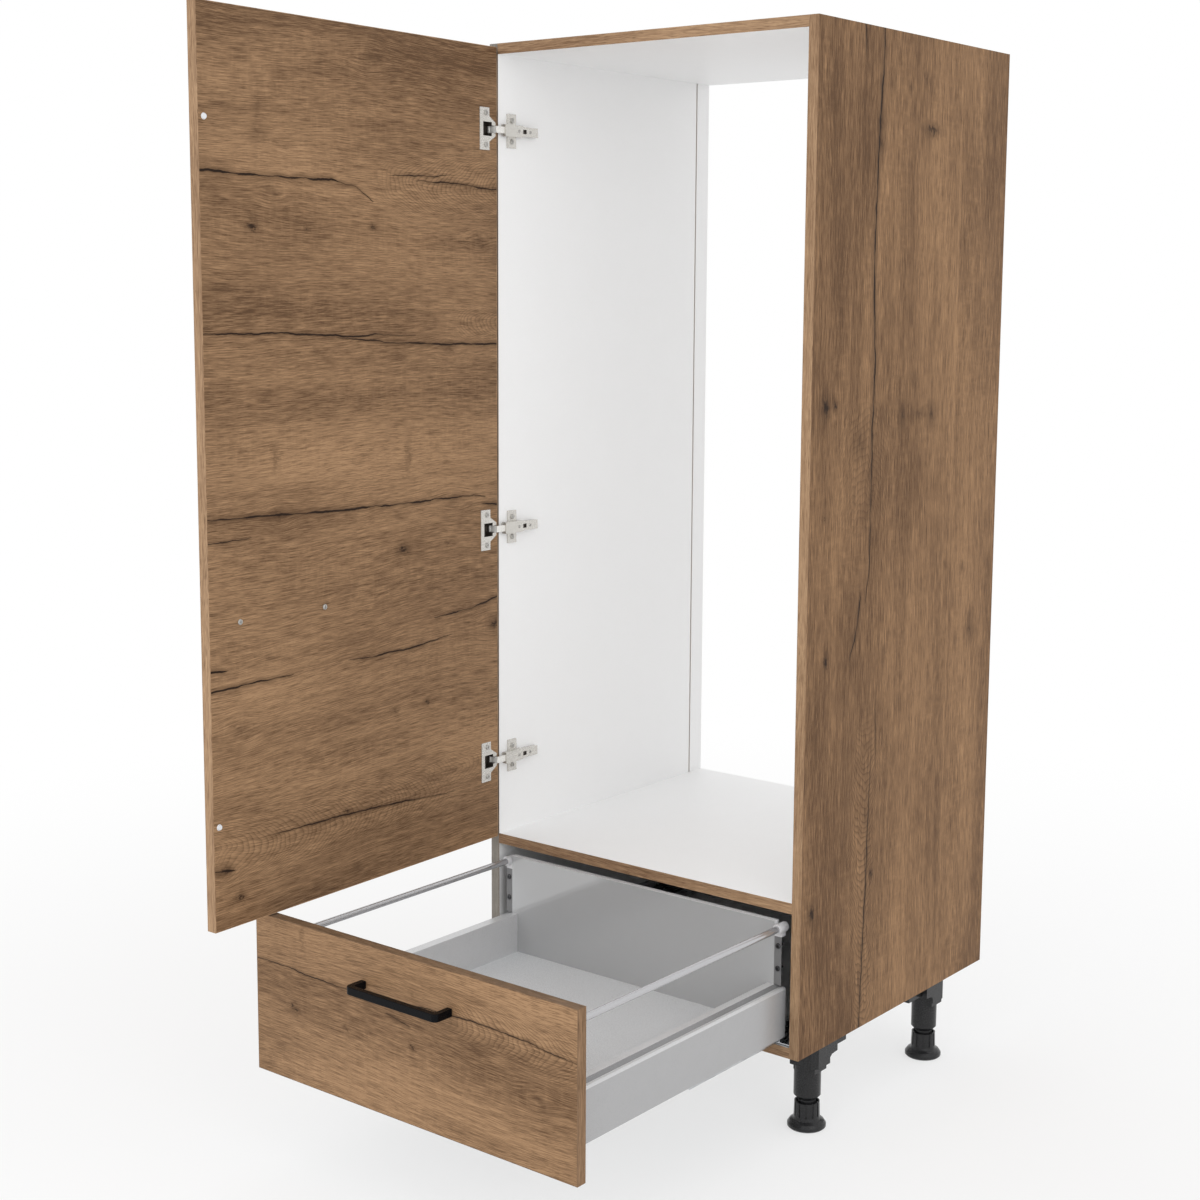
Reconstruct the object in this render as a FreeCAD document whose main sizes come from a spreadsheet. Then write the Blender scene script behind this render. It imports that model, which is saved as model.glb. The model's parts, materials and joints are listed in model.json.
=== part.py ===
"""A fridge housing unit: carcass with an open-backed niche, a hinged door, a metal-sided drawer and feet.

Frame: +Z up from the floor, +Y towards the back, x = 0 at mid-width and y = 0 at the carcass's front.
The door stands open and the drawer is drawn out, as DOOR and DRAWER place them.
"""
import FreeCAD
import Part
import Sketcher

import os
import re

# Driving dimensions, in millimetres, degrees for door_angle
SIZES = {
    # Carcass boards
    "unit_width": 600.0,
    "carcass_depth": 552.0,
    "carcass_height": 1480.0,
    "drawer_space": 202.0,
    "board": 16.0,
    "edging": 1.0,
    "groove_width": 3.4,
    "groove_depth": 8.0,
    "groove_setback": 34.0,
    "back_sheet": 3.0,
    "back_play": 0.5,
    "dowel_radius": 4.0,
    "dowel_length": 30.0,
    "dowel_sunk": 10.0,
    "dowel_inset": 60.0,
    # Fronts
    "front_gap": 3.0,
    "front_reveal": 2.0,
    "front_split": 3.0,
    "door_top_reveal": 6.0,
    "drawer_front_lap": 10.0,
    "drawer_front_drop": 4.0,
    # Hinges
    "door_angle": 88.0,
    "pivot_inset": 7.3,
    "pivot_depth": 9.0,
    "pin_radius": 1.3,
    "pin_length": 17.0,
    "pin_clearance": 0.05,
    "knuckle_radius": 2.4,
    "knuckle_width": 10.0,
    "link_sheet": 2.2,
    "link_reach": 13.5,
    "cup_radius": 17.5,
    "cup_depth": 12.8,
    "cup_floor": 0.7,
    "cup_edge": 3.0,
    "cup_throat": 11.2,
    "cup_mouth_height": 21.0,
    "cup_mouth_inset": 10.0,
    "cup_mouth_length": 20.0,
    "flange_sheet": 1.2,
    "flange_height": 64.0,
    "flange_width": 22.0,
    "flange_overhang": 2.5,
    "flange_waist": 38.0,
    "flange_nose": 20.0,
    "cup_screw_spacing": 48.0,
    "cup_screw_offset": 6.0,
    "hinge_from_top": 124.0,
    "hinge_from_bottom": 128.0,
    "hinge_middle_height": 501.0,
    "plate_sheet": 2.5,
    "plate_setback": 30.0,
    "plate_wing_height": 52.0,
    "plate_wing_width": 20.0,
    "plate_screw_spacing": 32.0,
    "plate_spine_height": 14.0,
    "plate_spine_rise": 5.0,
    "arm_start": 6.0,
    "arm_shoulder": 46.0,
    "arm_end": 82.0,
    "arm_front_height": 18.0,
    "arm_rear_height": 14.4,
    "arm_rise": 6.0,
    "arm_slot_setback": 51.0,
    "arm_slot_length": 8.0,
    "arm_slot_height": 6.5,
    "arm_slot_depth": 2.0,
    "arm_front_screw_setback": 38.0,
    "arm_rear_screw_setback": 64.0,
    # Handles and bumpers
    "handle_centres": 160.0,
    "handle_bar": 9.0,
    "handle_height": 11.0,
    "handle_projection": 32.0,
    "handle_outer_round": 8.0,
    "handle_inner_round": 3.0,
    "door_handle_inset": 135.0,
    "door_handle_height": 425.0,
    "drawer_handle_drop": 56.0,
    "bumper_radius": 4.5,
    "bumper_tip_radius": 3.4,
    "bumper_rise": 2.0,
    "bumper_inset": 10.5,
    "bumper_from_end": 147.0,
    # Drawer box
    "drawer_short": 19.0,
    "drawer_clearance": 13.0,
    "side_width": 27.0,
    "side_sheet": 1.0,
    "side_overrun": 8.0,
    "side_rise": 79.0,
    "side_shelf": 14.0,
    "side_step": 3.5,
    "side_ridge": 12.0,
    "side_shoulder": 3.0,
    "base_rise": 12.0,
    "base_board": 16.0,
    "back_clearance": 16.0,
    "back_overhang": 11.0,
    "back_flange": 10.0,
    "bracket_sheet": 1.2,
    "bracket_width": 12.0,
    "bracket_lap": 18.0,
    "bracket_gap": 12.5,
    "bracket_screw_low": 25.0,
    "bracket_screw_high": 14.0,
    "rail_radius": 5.0,
    "rail_drop": 9.5,
    "rail_socket_radius": 8.0,
    "rail_socket_length": 12.0,
    "rail_seat": 8.0,
    "rail_holder_radius": 7.5,
    "rail_holder_lead": 6.0,
    "rail_holder_length": 20.0,
    "rail_gap": 0.5,
    "fixing_sheet": 3.0,
    "fixing_height": 40.0,
    "fixing_arm_length": 40.0,
    "fixing_arm_height": 24.0,
    "fixing_level": 26.0,
    # Runners
    "runner_end_gap": 12.6,
    "runner_setback": 2.0,
    "runner_sheet": 1.5,
    "runner_rise": 2.5,
    "runner_flange_height": 40.0,
    "runner_track_inset": 18.0,
    "runner_track_width": 13.0,
    "runner_lip": 13.5,
    "runner_play": 0.3,
    "middle_sheet": 1.2,
    "middle_height": 23.7,
    "middle_short": 20.0,
    "drawer_runner_lip": 12.5,
    "runner_screw_rise": 29.5,
    "runner_screw_inset": 40.0,
    # Feet
    "foot_height": 135.0,
    "foot_inset": 34.0,
    "foot_front_setback": 79.0,
    "foot_rear_inset": 124.0,
    "socket_inner": 19.0,
    "socket_outer": 27.0,
    "socket_front": 20.0,
    "socket_rear": 20.0,
    "socket_tail": 40.0,
    "socket_tongue": 80.0,
    "socket_tongue_half": 17.0,
    "socket_corner": 8.0,
    "socket_step": 5.0,
    "socket_tongue_drop": 20.0,
    "socket_tail_drop": 22.0,
    "socket_drop": 36.0,
    "socket_lip": 8.0,
    "socket_lip_inset": 4.0,
    "socket_tube_radius": 20.5,
    "socket_mouth_radius": 14.8,
    "socket_taper": 6.3,
    "socket_length": 90.0,
    "socket_screw_pitch": 16.0,
    "socket_screw_setback": 62.0,
    "stem_radius": 13.9,
    "stem_clearance": 0.05,
    "stem_engaged": 31.0,
    "bore_spare": 22.0,
    "neck_gap": 4.5,
    "collar_radius": 19.8,
    "collar_tip_radius": 19.0,
    "collar_rise": 17.0,
    "collar_bore_radius": 16.8,
    "collar_bore_depth": 5.0,
    "base_radius": 29.2,
    "base_rim": 6.0,
    "base_chamfer": 2.0,
    "flute_width": 2.6,
    "flute_depth": 0.8,
    # Screws
    "screw_radius": 2.0,
    "screw_head_radius": 4.2,
    "screw_head": 2.0,
    "screw_length": 12.0,
}
FLUTES = 12
DOWELS_PER_END = 3
DOWEL_SIDES = 12
SHANK_SIDES = 6
HEAD_SIDES = 12
RUNNER_SCREWS = 3

# Places worked out from the sizes
HALF = "(unit_width / 2)"
INNER = f"({HALF} - board)"
FLOOR_PANEL = "foot_height"
FLOOR_TOP = "(foot_height + board)"
ROOF_PANEL = "(foot_height + carcass_height - board)"
SHELF_PANEL = f"({FLOOR_TOP} + drawer_space)"
GROOVE_Y = "(carcass_depth - groove_setback - groove_width)"
FRONT_WIDTH = "(unit_width - 2 * front_reveal)"
DRAWER_FRONT_BOTTOM = "(foot_height - drawer_front_drop)"
DRAWER_FRONT_TOP = f"({SHELF_PANEL} + drawer_front_lap)"
DOOR_BOTTOM = f"({DRAWER_FRONT_TOP} + front_split)"
DOOR_TOP = "(foot_height + carcass_height - door_top_reveal)"
PIVOT_X = f"(front_reveal + pivot_inset - {HALF})"
PIVOT_Y = "(-front_gap - pivot_depth)"
CUP_X = "(cup_edge + cup_radius - pivot_inset)"
HINGE_LEVELS = {
    "upper": f"({DOOR_TOP} - hinge_from_top)",
    "middle": f"({DOOR_BOTTOM} + hinge_middle_height)",
    "lower": f"({DOOR_BOTTOM} + hinge_from_bottom)",
}
SIDE_OUT = f"({INNER} - drawer_clearance)"
SIDE_IN = f"({SIDE_OUT} - side_width)"
BASE_Z = f"({FLOOR_TOP} + base_rise)"
SIDE_TOP = f"({BASE_Z} + side_rise)"
RUNNER_LENGTH = f"({GROOVE_Y} - runner_setback - runner_end_gap)"
DRAWER_DEPTH = f"({RUNNER_LENGTH} - drawer_short)"
SIDE_LENGTH = f"({DRAWER_DEPTH} + side_overrun)"
BACK_Y = f"({DRAWER_DEPTH} - front_gap)"
BACK_TOP = f"({SHELF_PANEL} - back_clearance)"
BACK_HALF = f"({SIDE_IN} + back_overhang)"
RAIL_X = f"({BACK_HALF} + rail_holder_radius + rail_gap)"
RAIL_Z = f"({BACK_TOP} - rail_drop)"
BRACKET_TOP = f"({RAIL_Z} - bracket_gap)"
RUNNER_Z = f"({FLOOR_TOP} + runner_rise)"
TRACK_OUT = f"({INNER} - runner_track_inset - runner_sheet)"
TRACK_IN = f"({TRACK_OUT} - runner_track_width)"
MIDDLE_TOP = f"({RUNNER_Z} + runner_sheet + runner_play + middle_height)"
SOCKET_END = "(foot_height - socket_length)"
COLLAR_TOP = f"({SOCKET_END} - neck_gap)"
FOOT_X = f"({HALF} - foot_inset)"
FOOT_REAR = "(carcass_depth - foot_rear_inset)"
FOOT_SPOTS = {
    "front_right": (FOOT_X, "foot_front_setback"),
    "front_left": (f"-{FOOT_X}", "foot_front_setback"),
    "rear_right": (FOOT_X, FOOT_REAR),
    "rear_left": (f"-{FOOT_X}", FOOT_REAR),
}

# What each sub-part is carried by: an offset, and a turn about Z, from the drawn position
CARCASS = (0, 0, 0, 0)
DOOR = (PIVOT_X, PIVOT_Y, 0, "-door_angle")
DRAWER = (0, f"-{BACK_Y}", 0, 0)
RUNNER_MIDDLE = (0, f"-{BACK_Y} / 2", 0, 0)

ALONG_X = FreeCAD.Rotation(FreeCAD.Vector(0, 1, 0), 90)
ALONG_Y = FreeCAD.Rotation(FreeCAD.Vector(1, 0, 0), -90)
ALONG_Z = FreeCAD.Rotation()

doc = FreeCAD.newDocument("FridgeHousing")
sheet = doc.addObject("Spreadsheet::Sheet", "Sizes")
for row, (alias, value) in enumerate(SIZES.items(), start=1):
    sheet.set(f"A{row}", alias)
    sheet.set(f"B{row}", str(value))
    sheet.setAlias(f"B{row}", alias)
doc.recompute()
nodes = []


def sized(text):
    """Point each size that an expression names at its cell of the sheet."""
    return re.sub(r"[a-z]\w*", lambda word: f"Sizes.{word[0]}" if word[0] in SIZES else word[0], str(text))


def bind(thing, **sizes):
    """Bind properties of an object to expressions in the sizes."""
    for name, text in sizes.items():
        thing.setExpression(name, sized(text))
    return thing


def place(thing, x=0, y=0, z=0):
    """Bind the place of an object."""
    for axis, text in zip("xyz", (x, y, z)):
        thing.setExpression(f"Placement.Base.{axis}", sized(text))
    return thing


def box(name, length, width, height, x, y, z):
    """A rectangular block from its lowest corner."""
    return place(bind(doc.addObject("Part::Box", name), Length=length, Width=width, Height=height), x, y, z)


def rod(name, radius, length, x, y, z, way=ALONG_Z):
    """A round bar from the middle of its first end."""
    bar = bind(doc.addObject("Part::Cylinder", name), Radius=radius, Height=length)
    bar.Placement.Rotation = way
    return place(bar, x, y, z)


def prism(name, sides, radius, length, x, y, z, way=ALONG_Z):
    """A bar with flat sides from the middle of its first end."""
    bar = bind(doc.addObject("Part::Prism", name), Circumradius=radius, Height=length)
    bar.Polygon = sides
    bar.Placement.Rotation = way
    return place(bar, x, y, z)


def cone(name, first_radius, last_radius, length, x, y, z, way=ALONG_Z):
    """A tapered round bar from the middle of its first end."""
    taper = doc.addObject("Part::Cone", name)
    bind(taper, Radius1=first_radius, Radius2=last_radius, Height=length)
    taper.Placement.Rotation = way
    return place(taper, x, y, z)


def group(name, *members):
    """Separate solids held as one object."""
    bundle = doc.addObject("Part::Compound", name)
    bundle.Links = list(members)
    return bundle


def join(name, *members):
    """Several shapes made one solid."""
    union = doc.addObject("Part::MultiFuse", name)
    union.Shapes = list(members)
    return union


def cut(name, base, *tools):
    """A shape with every tool taken out of it."""
    rest = doc.addObject("Part::Cut", name)
    rest.Base = base
    rest.Tool = tools[0] if len(tools) == 1 else group(f"{name}_tools", *tools)
    return rest


def moved(name, source, x=0, y=0, z=0):
    """A copy of a shape, carried to another place."""
    return place(group(name, source), x, y, z)


def mirrored(name, source, normal=(1, 0, 0)):
    """A copy of a shape on the other side of x = 0, or of another plane through the origin."""
    twin = doc.addObject("Part::Mirroring", name)
    twin.Source = source
    twin.Normal = FreeCAD.Vector(*normal)
    return twin


def outline(body, name, plane, points):
    """A closed sketch of straight edges on an origin plane, with every corner bound to the sizes."""
    sketch = body.newObject("Sketcher::SketchObject", name)
    sketch.AttachmentSupport = [(next(item for item in body.Origin.OriginFeatures if item.Role == plane), "")]
    sketch.MapMode = "FlatFace"
    corners = [[float(sketch.evalExpression(sized(text))) for text in point] for point in points]
    count = len(corners)
    for index, corner in enumerate(corners):
        ahead = corners[(index + 1) % count]
        sketch.addGeometry(Part.LineSegment(FreeCAD.Vector(*corner), FreeCAD.Vector(*ahead)), False)
    for index in range(count):
        sketch.addConstraint(Sketcher.Constraint("Coincident", index, 2, (index + 1) % count, 1))
    for index, (point, corner) in enumerate(zip(points, corners)):
        for kind, text, size in zip(("DistanceX", "DistanceY"), point, corner):
            number = sketch.addConstraint(Sketcher.Constraint(kind, index, 1, size))
            sketch.setExpression(f"Constraints[{number}]", sized(text))
    return sketch


def pad(body, name, sketch, length, backwards=False):
    """Extrude a sketch of a body."""
    feature = body.newObject("PartDesign::Pad", name)
    feature.Profile = sketch
    feature.Reversed = backwards
    return bind(feature, Length=length)


def extruded(name, plane, points, length, backwards=False):
    """A body with one straight-edged section, extruded along its plane's normal."""
    body = doc.addObject("PartDesign::Body", name)
    pad(body, f"{name}_run", outline(body, f"{name}_section", plane, points), length, backwards)
    return body


def turned(name, points):
    """A body turned about Z from its half section of (radius, height) corners."""
    body = doc.addObject("PartDesign::Body", name)
    sketch = outline(body, f"{name}_section", "XZ_Plane", points)
    turn = body.newObject("PartDesign::Revolution", f"{name}_turn")
    turn.Profile = sketch
    turn.ReferenceAxis = (sketch, ["V_Axis"])
    turn.Angle = 360
    return body


def rounded(body, name, feature, radius, test):
    """Round those upright edges of a body's feature that pass a test of their middle point."""
    doc.recompute()
    edges = feature.Shape.Edges
    upright = [abs(edge.tangentAt(edge.FirstParameter).z) > 0.99 for edge in edges]
    names = [
        f"Edge{number}"
        for number, (edge, stands) in enumerate(zip(edges, upright), start=1)
        if stands and test(edge.CenterOfMass)
    ]
    fillet = body.newObject("PartDesign::Fillet", name)
    fillet.Base = (feature, names)
    return bind(fillet, Radius=radius)


def screw(name, x, y, z, way, length="screw_length"):
    """A pan-headed screw whose head starts at a point and whose shank runs on along its way."""
    head = prism(f"{name}_head", HEAD_SIDES, "screw_head_radius", "screw_head", 0, 0, 0)
    shank = prism(f"{name}_shank", SHANK_SIDES, "screw_radius", f"screw_head + {length}", 0, 0, 0)
    whole = join(name, head, shank)
    whole.Placement.Rotation = way
    return place(whole, x, y, z)


def node(label, carrier, *solids):
    """Name a sub-part's solids and set them where their carrier stands."""
    part = group(label, *solids)
    x, y, z, turn = carrier
    place(part, x, y, z)
    part.Placement.Rotation = FreeCAD.Rotation(FreeCAD.Vector(0, 0, 1), 1)
    part.setExpression("Placement.Rotation.Angle", sized(turn))
    nodes.append(part)
    return part


def dowels():
    """Three dowels at each end of each crosspiece."""
    pegs = []
    for level_name, level in (("roof", ROOF_PANEL), ("shelf", SHELF_PANEL), ("floor", FLOOR_PANEL)):
        for index in range(DOWELS_PER_END):
            y = f"dowel_inset + {index} * (carcass_depth - 2 * dowel_inset) / {DOWELS_PER_END - 1}"
            x = f"{INNER} + dowel_sunk - dowel_length"
            name = f"dowel_{level_name}_{index}"
            z = f"{level} + board / 2"
            peg = prism(f"{name}_right", DOWEL_SIDES, "dowel_radius", "dowel_length", x, y, z, ALONG_X)
            pegs += [peg, mirrored(f"{name}_left", peg)]
    return group("all_dowels", *pegs)


def carcass(pegs, plate_screws, runner_screws, socket_screws):
    """The boards, with the grooves and holes of what is fixed to them."""
    depth = "carcass_depth - edging"
    side = box("side_board", "board", depth, "carcass_height", INNER, "edging", "foot_height")
    groove = box("side_groove", "groove_depth", "groove_width", "carcass_height", INNER, GROOVE_Y, "foot_height")
    right = cut("side_grooved", side, groove)
    left = mirrored("side_grooved_left", right)
    node("side_panel_right", CARCASS, cut("right_bored", right, pegs, runner_screws))
    node("side_panel_left", CARCASS, cut("left_bored", left, pegs, runner_screws, plate_screws))

    def crosspiece(name, level):
        return box(name, f"2 * {INNER}", depth, "board", f"-{INNER}", "edging", level)

    def cross_groove(name, level):
        return box(name, f"2 * {INNER}", "groove_width", "groove_depth", f"-{INNER}", GROOVE_Y, level)

    shelf_groove = cross_groove("shelf_groove", SHELF_PANEL)
    floor_groove = cross_groove("floor_groove", f"{FLOOR_TOP} - groove_depth")
    node("top_panel", CARCASS, cut("roof_bored", crosspiece("roof_board", ROOF_PANEL), pegs))
    node("fridge_shelf", CARCASS, cut("shelf_bored", crosspiece("shelf_board", SHELF_PANEL), pegs, shelf_groove))
    floor_board = crosspiece("floor_board", FLOOR_PANEL)
    node("bottom_panel", CARCASS, cut("floor_bored", floor_board, pegs, floor_groove, socket_screws))
    node("carcass_dowels", CARCASS, pegs)

    back_half = f"({INNER} + groove_depth - back_play)"
    back_low = f"({FLOOR_TOP} - groove_depth + back_play)"
    back_high = f"({SHELF_PANEL} + groove_depth - back_play)"
    back_y = f"{GROOVE_Y} + (groove_width - back_sheet) / 2"
    back = box("back_sheet_board", f"2 * {back_half}", "back_sheet", f"{back_high} - {back_low}",
               f"-{back_half}", back_y, back_low)
    node("lower_back_panel", CARCASS, back)

    side_strip = box("side_strip", "board", "edging", "carcass_height", INNER, 0, "foot_height")
    node("side_edging", CARCASS, side_strip, mirrored("side_strip_left", side_strip))
    strips = [
        box(f"{name}_strip", f"2 * {INNER}", "edging", "board", f"-{INNER}", 0, level)
        for name, level in (("roof", ROOF_PANEL), ("shelf", SHELF_PANEL), ("floor", FLOOR_PANEL))
    ]
    node("crosspiece_edging", CARCASS, *strips)


def hinge_plate_screws():
    """Two screws through each hinge plate into the left side panel."""
    into_panel = FreeCAD.Rotation(FreeCAD.Vector(0, 1, 0), -90)
    screws = []
    for name, level in HINGE_LEVELS.items():
        for sign in "-+":
            x = f"plate_sheet + screw_head - {INNER}"
            z = f"{level} {sign} plate_screw_spacing / 2"
            screws.append(screw(f"plate_screw_{name}_{len(screws)}", x, "plate_setback", z, into_panel))
    return group("all_plate_screws", *screws)


def hinge_plate():
    """A cross-shaped mounting plate with a raised spine, flat against the side panel at x = 0, z = 0."""
    wing_front = "plate_setback - plate_wing_width / 2"
    wing_rear = "plate_setback + plate_wing_width / 2"
    tall, low = "plate_wing_height / 2", "plate_spine_height / 2"
    spine_front, spine_rear = "arm_start + edging", "arm_end - plate_wing_width"
    half = [(spine_rear, low), (wing_rear, low), (wing_rear, tall), (wing_front, tall), (wing_front, low),
            (spine_front, low)]
    cross = half + [(y, f"-{z}") for y, z in reversed(half)]
    plate = extruded("plate_cross", "YZ_Plane", cross, "plate_sheet")
    spine = box("plate_spine", "plate_spine_rise", f"{spine_rear} - {spine_front}", "plate_spine_height",
                0, spine_front, f"-{low}")
    return join("plate_whole", plate, spine)


def hinge_arm():
    """The arm on the plate's spine, with its link bent into the cup and curled round the pin."""
    front, rear = "arm_front_height / 2", "arm_rear_height / 2"
    half = [("arm_start", front), ("arm_shoulder", front), ("arm_shoulder + front_gap", rear), ("arm_end", rear)]
    plan = half + [(y, f"-{z}") for y, z in reversed(half)]
    top = "(plate_spine_rise + arm_rise)"
    bar = extruded("arm_bar", "YZ_Plane", plan, "arm_rise")
    place(bar, x="plate_spine_rise")
    cheeks = extruded("arm_cheeks", "YZ_Plane", plan, "plate_spine_rise - plate_sheet")
    place(cheeks, x="plate_sheet")
    spine_room = box("arm_spine_room", "plate_spine_rise", "arm_end", "plate_spine_height",
                     0, 0, "-plate_spine_height / 2")
    walls = cut("arm_walls", cheeks, spine_room)
    pivot_x = f"({PIVOT_X} + {INNER})"
    low = "-knuckle_width / 2"
    knuckle = rod("arm_knuckle", "knuckle_radius", "knuckle_width", pivot_x, PIVOT_Y, low)
    strap = box("arm_strap", "link_reach + link_sheet", "link_sheet", "knuckle_width",
                pivot_x, f"{PIVOT_Y} - link_sheet / 2", low)
    leg = box("arm_leg", "link_sheet", f"arm_start + edging + link_sheet / 2 - {PIVOT_Y}", "knuckle_width",
              f"{pivot_x} + link_reach", f"{PIVOT_Y} - link_sheet / 2", low)
    eye = rod("arm_eye", "pin_radius + pin_clearance", "knuckle_width", pivot_x, PIVOT_Y, low)
    slot = box("arm_slot", "arm_slot_depth", "arm_slot_length", "arm_slot_height", f"{top} - arm_slot_depth",
               "arm_slot_setback - arm_slot_length / 2", "-arm_slot_height / 2")
    return cut("arm_whole", join("arm_solid", bar, walls, knuckle, strap, leg), eye, slot)


def hinge_cup():
    """The cup in the door, with its flange and mouth, and the pin across its throat, at z = 0."""
    face = "pivot_depth"
    inset = f"({CUP_X} - cup_radius)"
    cup = rod("cup_barrel", "cup_radius", "cup_depth", CUP_X, f"{face} - cup_depth", 0, ALONG_Y)
    far = f"{CUP_X} + cup_radius + flange_overhang"
    near = f"{far} - flange_width"
    nose = f"{inset} + edging"
    half = [(far, "flange_height / 2"), (near, "flange_height / 2"), (near, "flange_waist / 2"),
            (nose, "flange_nose / 2")]
    flange = extruded("cup_flange", "XZ_Plane", half + [(x, f"-{z}") for x, z in reversed(half)],
                      "flange_sheet", backwards=True)
    place(flange, y=face)
    room = "cup_depth - cup_floor + flange_sheet"
    room_y = f"{face} - cup_depth + cup_floor"
    throat_x = "(-knuckle_radius - link_sheet / 4)"
    throat = box("cup_throat_room", f"{inset} + cup_mouth_inset + edging - {throat_x}", room, "cup_throat",
                 throat_x, room_y, "-cup_throat / 2")
    mouth = box("cup_mouth_room", "cup_mouth_length", room, "cup_mouth_height",
                f"{inset} + cup_mouth_inset", room_y, "-cup_mouth_height / 2")
    pin = rod("cup_pin", "pin_radius", "pin_length", 0, 0, "-pin_length / 2")
    screws = []
    for sign in "-+":
        x = f"{CUP_X} + cup_screw_offset"
        z = f"0 {sign} cup_screw_spacing / 2"
        into_door = FreeCAD.Rotation(FreeCAD.Vector(1, 0, 0), 90)
        screws.append(screw(f"cup_screw_{len(screws)}", x, f"{face} + flange_sheet + screw_head", z, into_door))
    screws = group("cup_screws", *screws)
    solid = join("cup_solid", cup, flange)
    return cut("cup_whole", solid, throat, mouth, pin, screws), pin, screws


def hinges(plate_screws, cup, pin, cup_screws):
    """Three hinges: plate and arm on the left side panel, cup and pin on the door."""
    plate, arm = hinge_plate(), hinge_arm()
    pins, screws, adjusters = [], [], []
    wall = f"-{INNER}"
    arm_top = f"plate_spine_rise + arm_rise - {INNER}"
    for name, level in HINGE_LEVELS.items():
        plate_there = moved(f"plate_{name}", plate, x=wall, z=level)
        node(f"hinge_plate_{name}", CARCASS, cut(f"plate_bored_{name}", plate_there, plate_screws))
        spots = [
            rod(f"adjuster_{name}_{setback}", "screw_radius + edging / 2", "arm_slot_depth", f"{arm_top} - edging",
                setback, level, ALONG_X)
            for setback in ("arm_front_screw_setback", "arm_rear_screw_setback")
        ]
        adjusters += spots
        arm_there = moved(f"arm_{name}", arm, x=wall, z=level)
        node(f"hinge_arm_{name}", CARCASS, cut(f"arm_bored_{name}", arm_there, *spots))
        node(f"hinge_cup_{name}", DOOR, moved(f"cup_{name}", cup, z=level))
        pins.append(moved(f"pin_{name}", pin, z=level))
        screws.append(moved(f"cup_screws_{name}", cup_screws, z=level))
    node("hinge_plate_screws", CARCASS, plate_screws)
    node("hinge_adjusting_screws", CARCASS, *adjusters)
    node("hinge_pins", DOOR, *pins)
    node("hinge_cup_screws", DOOR, *screws)


def bow_handle():
    """A bow handle with rounded corners, standing out towards -Y from y = 0, centred on x = 0 and z = 0."""
    out, inside = "(handle_centres + handle_bar) / 2", "(handle_centres - handle_bar) / 2"
    reach, back = "-handle_projection", "handle_bar - handle_projection"
    plan = [(f"-{out}", 0), (f"-{out}", reach), (out, reach), (out, 0),
            (inside, 0), (inside, back), (f"-{inside}", back), (f"-{inside}", 0)]
    body = extruded("bow", "XY_Plane", plan, "handle_height")
    place(body, z="-handle_height / 2")
    first = body.Tip
    half_way = (SIZES["handle_bar"] - SIZES["handle_projection"]) / 2
    middle = SIZES["handle_centres"] / 2
    outer = rounded(body, "bow_outer", first, "handle_outer_round",
                    lambda spot: spot.y < half_way and abs(spot.x) > middle)
    rounded(body, "bow_inner", outer, "handle_inner_round",
            lambda spot: spot.y < half_way and abs(abs(spot.x) - middle + SIZES["handle_bar"] / 2) < 0.1)
    return body


def handle_screws():
    """Two screws from behind a front into the handle's legs, with their heads on the front's inner face."""
    towards_front = FreeCAD.Rotation(FreeCAD.Vector(1, 0, 0), 90)
    pair = [
        screw(f"handle_screw_{index}", f"0 {sign} handle_centres / 2", "board + screw_head", 0, towards_front,
              "board + handle_bar")
        for index, sign in enumerate("-+")
    ]
    return group("handle_screw_pair", *pair)


def front_board(name, low_x, low_y, low_z, height):
    """A front's board and the band round its four edges."""
    whole = box(f"{name}_blank", FRONT_WIDTH, "board", height, low_x, low_y, low_z)
    core = box(f"{name}_core", f"{FRONT_WIDTH} - 2 * edging", "board", f"{height} - 2 * edging",
               f"{low_x} + edging", low_y, f"{low_z} + edging")
    return core, cut(f"{name}_band", whole, core)


def door(handle, screws, cup_screws):
    """The door, drawn closed about its hinge axis at x = 0, y = 0."""
    outer_face = "(pivot_depth - board)"
    height = f"({DOOR_TOP} - {DOOR_BOTTOM})"
    core, band = front_board("door", "-pivot_inset", outer_face, DOOR_BOTTOM, height)
    spot = (f"{FRONT_WIDTH} - pivot_inset - door_handle_inset", outer_face, f"{DOOR_BOTTOM} + door_handle_height")
    screws_there = moved("door_handle_screw_pair", screws, *spot)
    bores = [
        rod(f"door_bore_{name}", "cup_radius", "cup_depth", CUP_X, "pivot_depth - cup_depth", level, ALONG_Y)
        for name, level in HINGE_LEVELS.items()
    ]
    holes = [moved(f"door_cup_holes_{name}", cup_screws, z=level) for name, level in HINGE_LEVELS.items()]
    node("door_panel", DOOR, cut("door_bored", core, *bores, *holes, screws_there))
    node("door_edging", DOOR, band)
    node("door_handle", DOOR, cut("door_handle_bored", moved("door_bow", handle, *spot), screws_there))
    node("door_handle_screws", DOOR, screws_there)
    x = f"{FRONT_WIDTH} - pivot_inset - bumper_inset"
    bumpers = [
        cone(f"bumper_{name}", "bumper_radius", "bumper_tip_radius", "bumper_rise", x, "pivot_depth", level, ALONG_Y)
        for name, level in (
            ("low", f"{DOOR_BOTTOM} + bumper_from_end"),
            ("high", f"{DOOR_TOP} - bumper_from_end"),
        )
    ]
    node("door_bumpers", DOOR, *bumpers)


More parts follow.
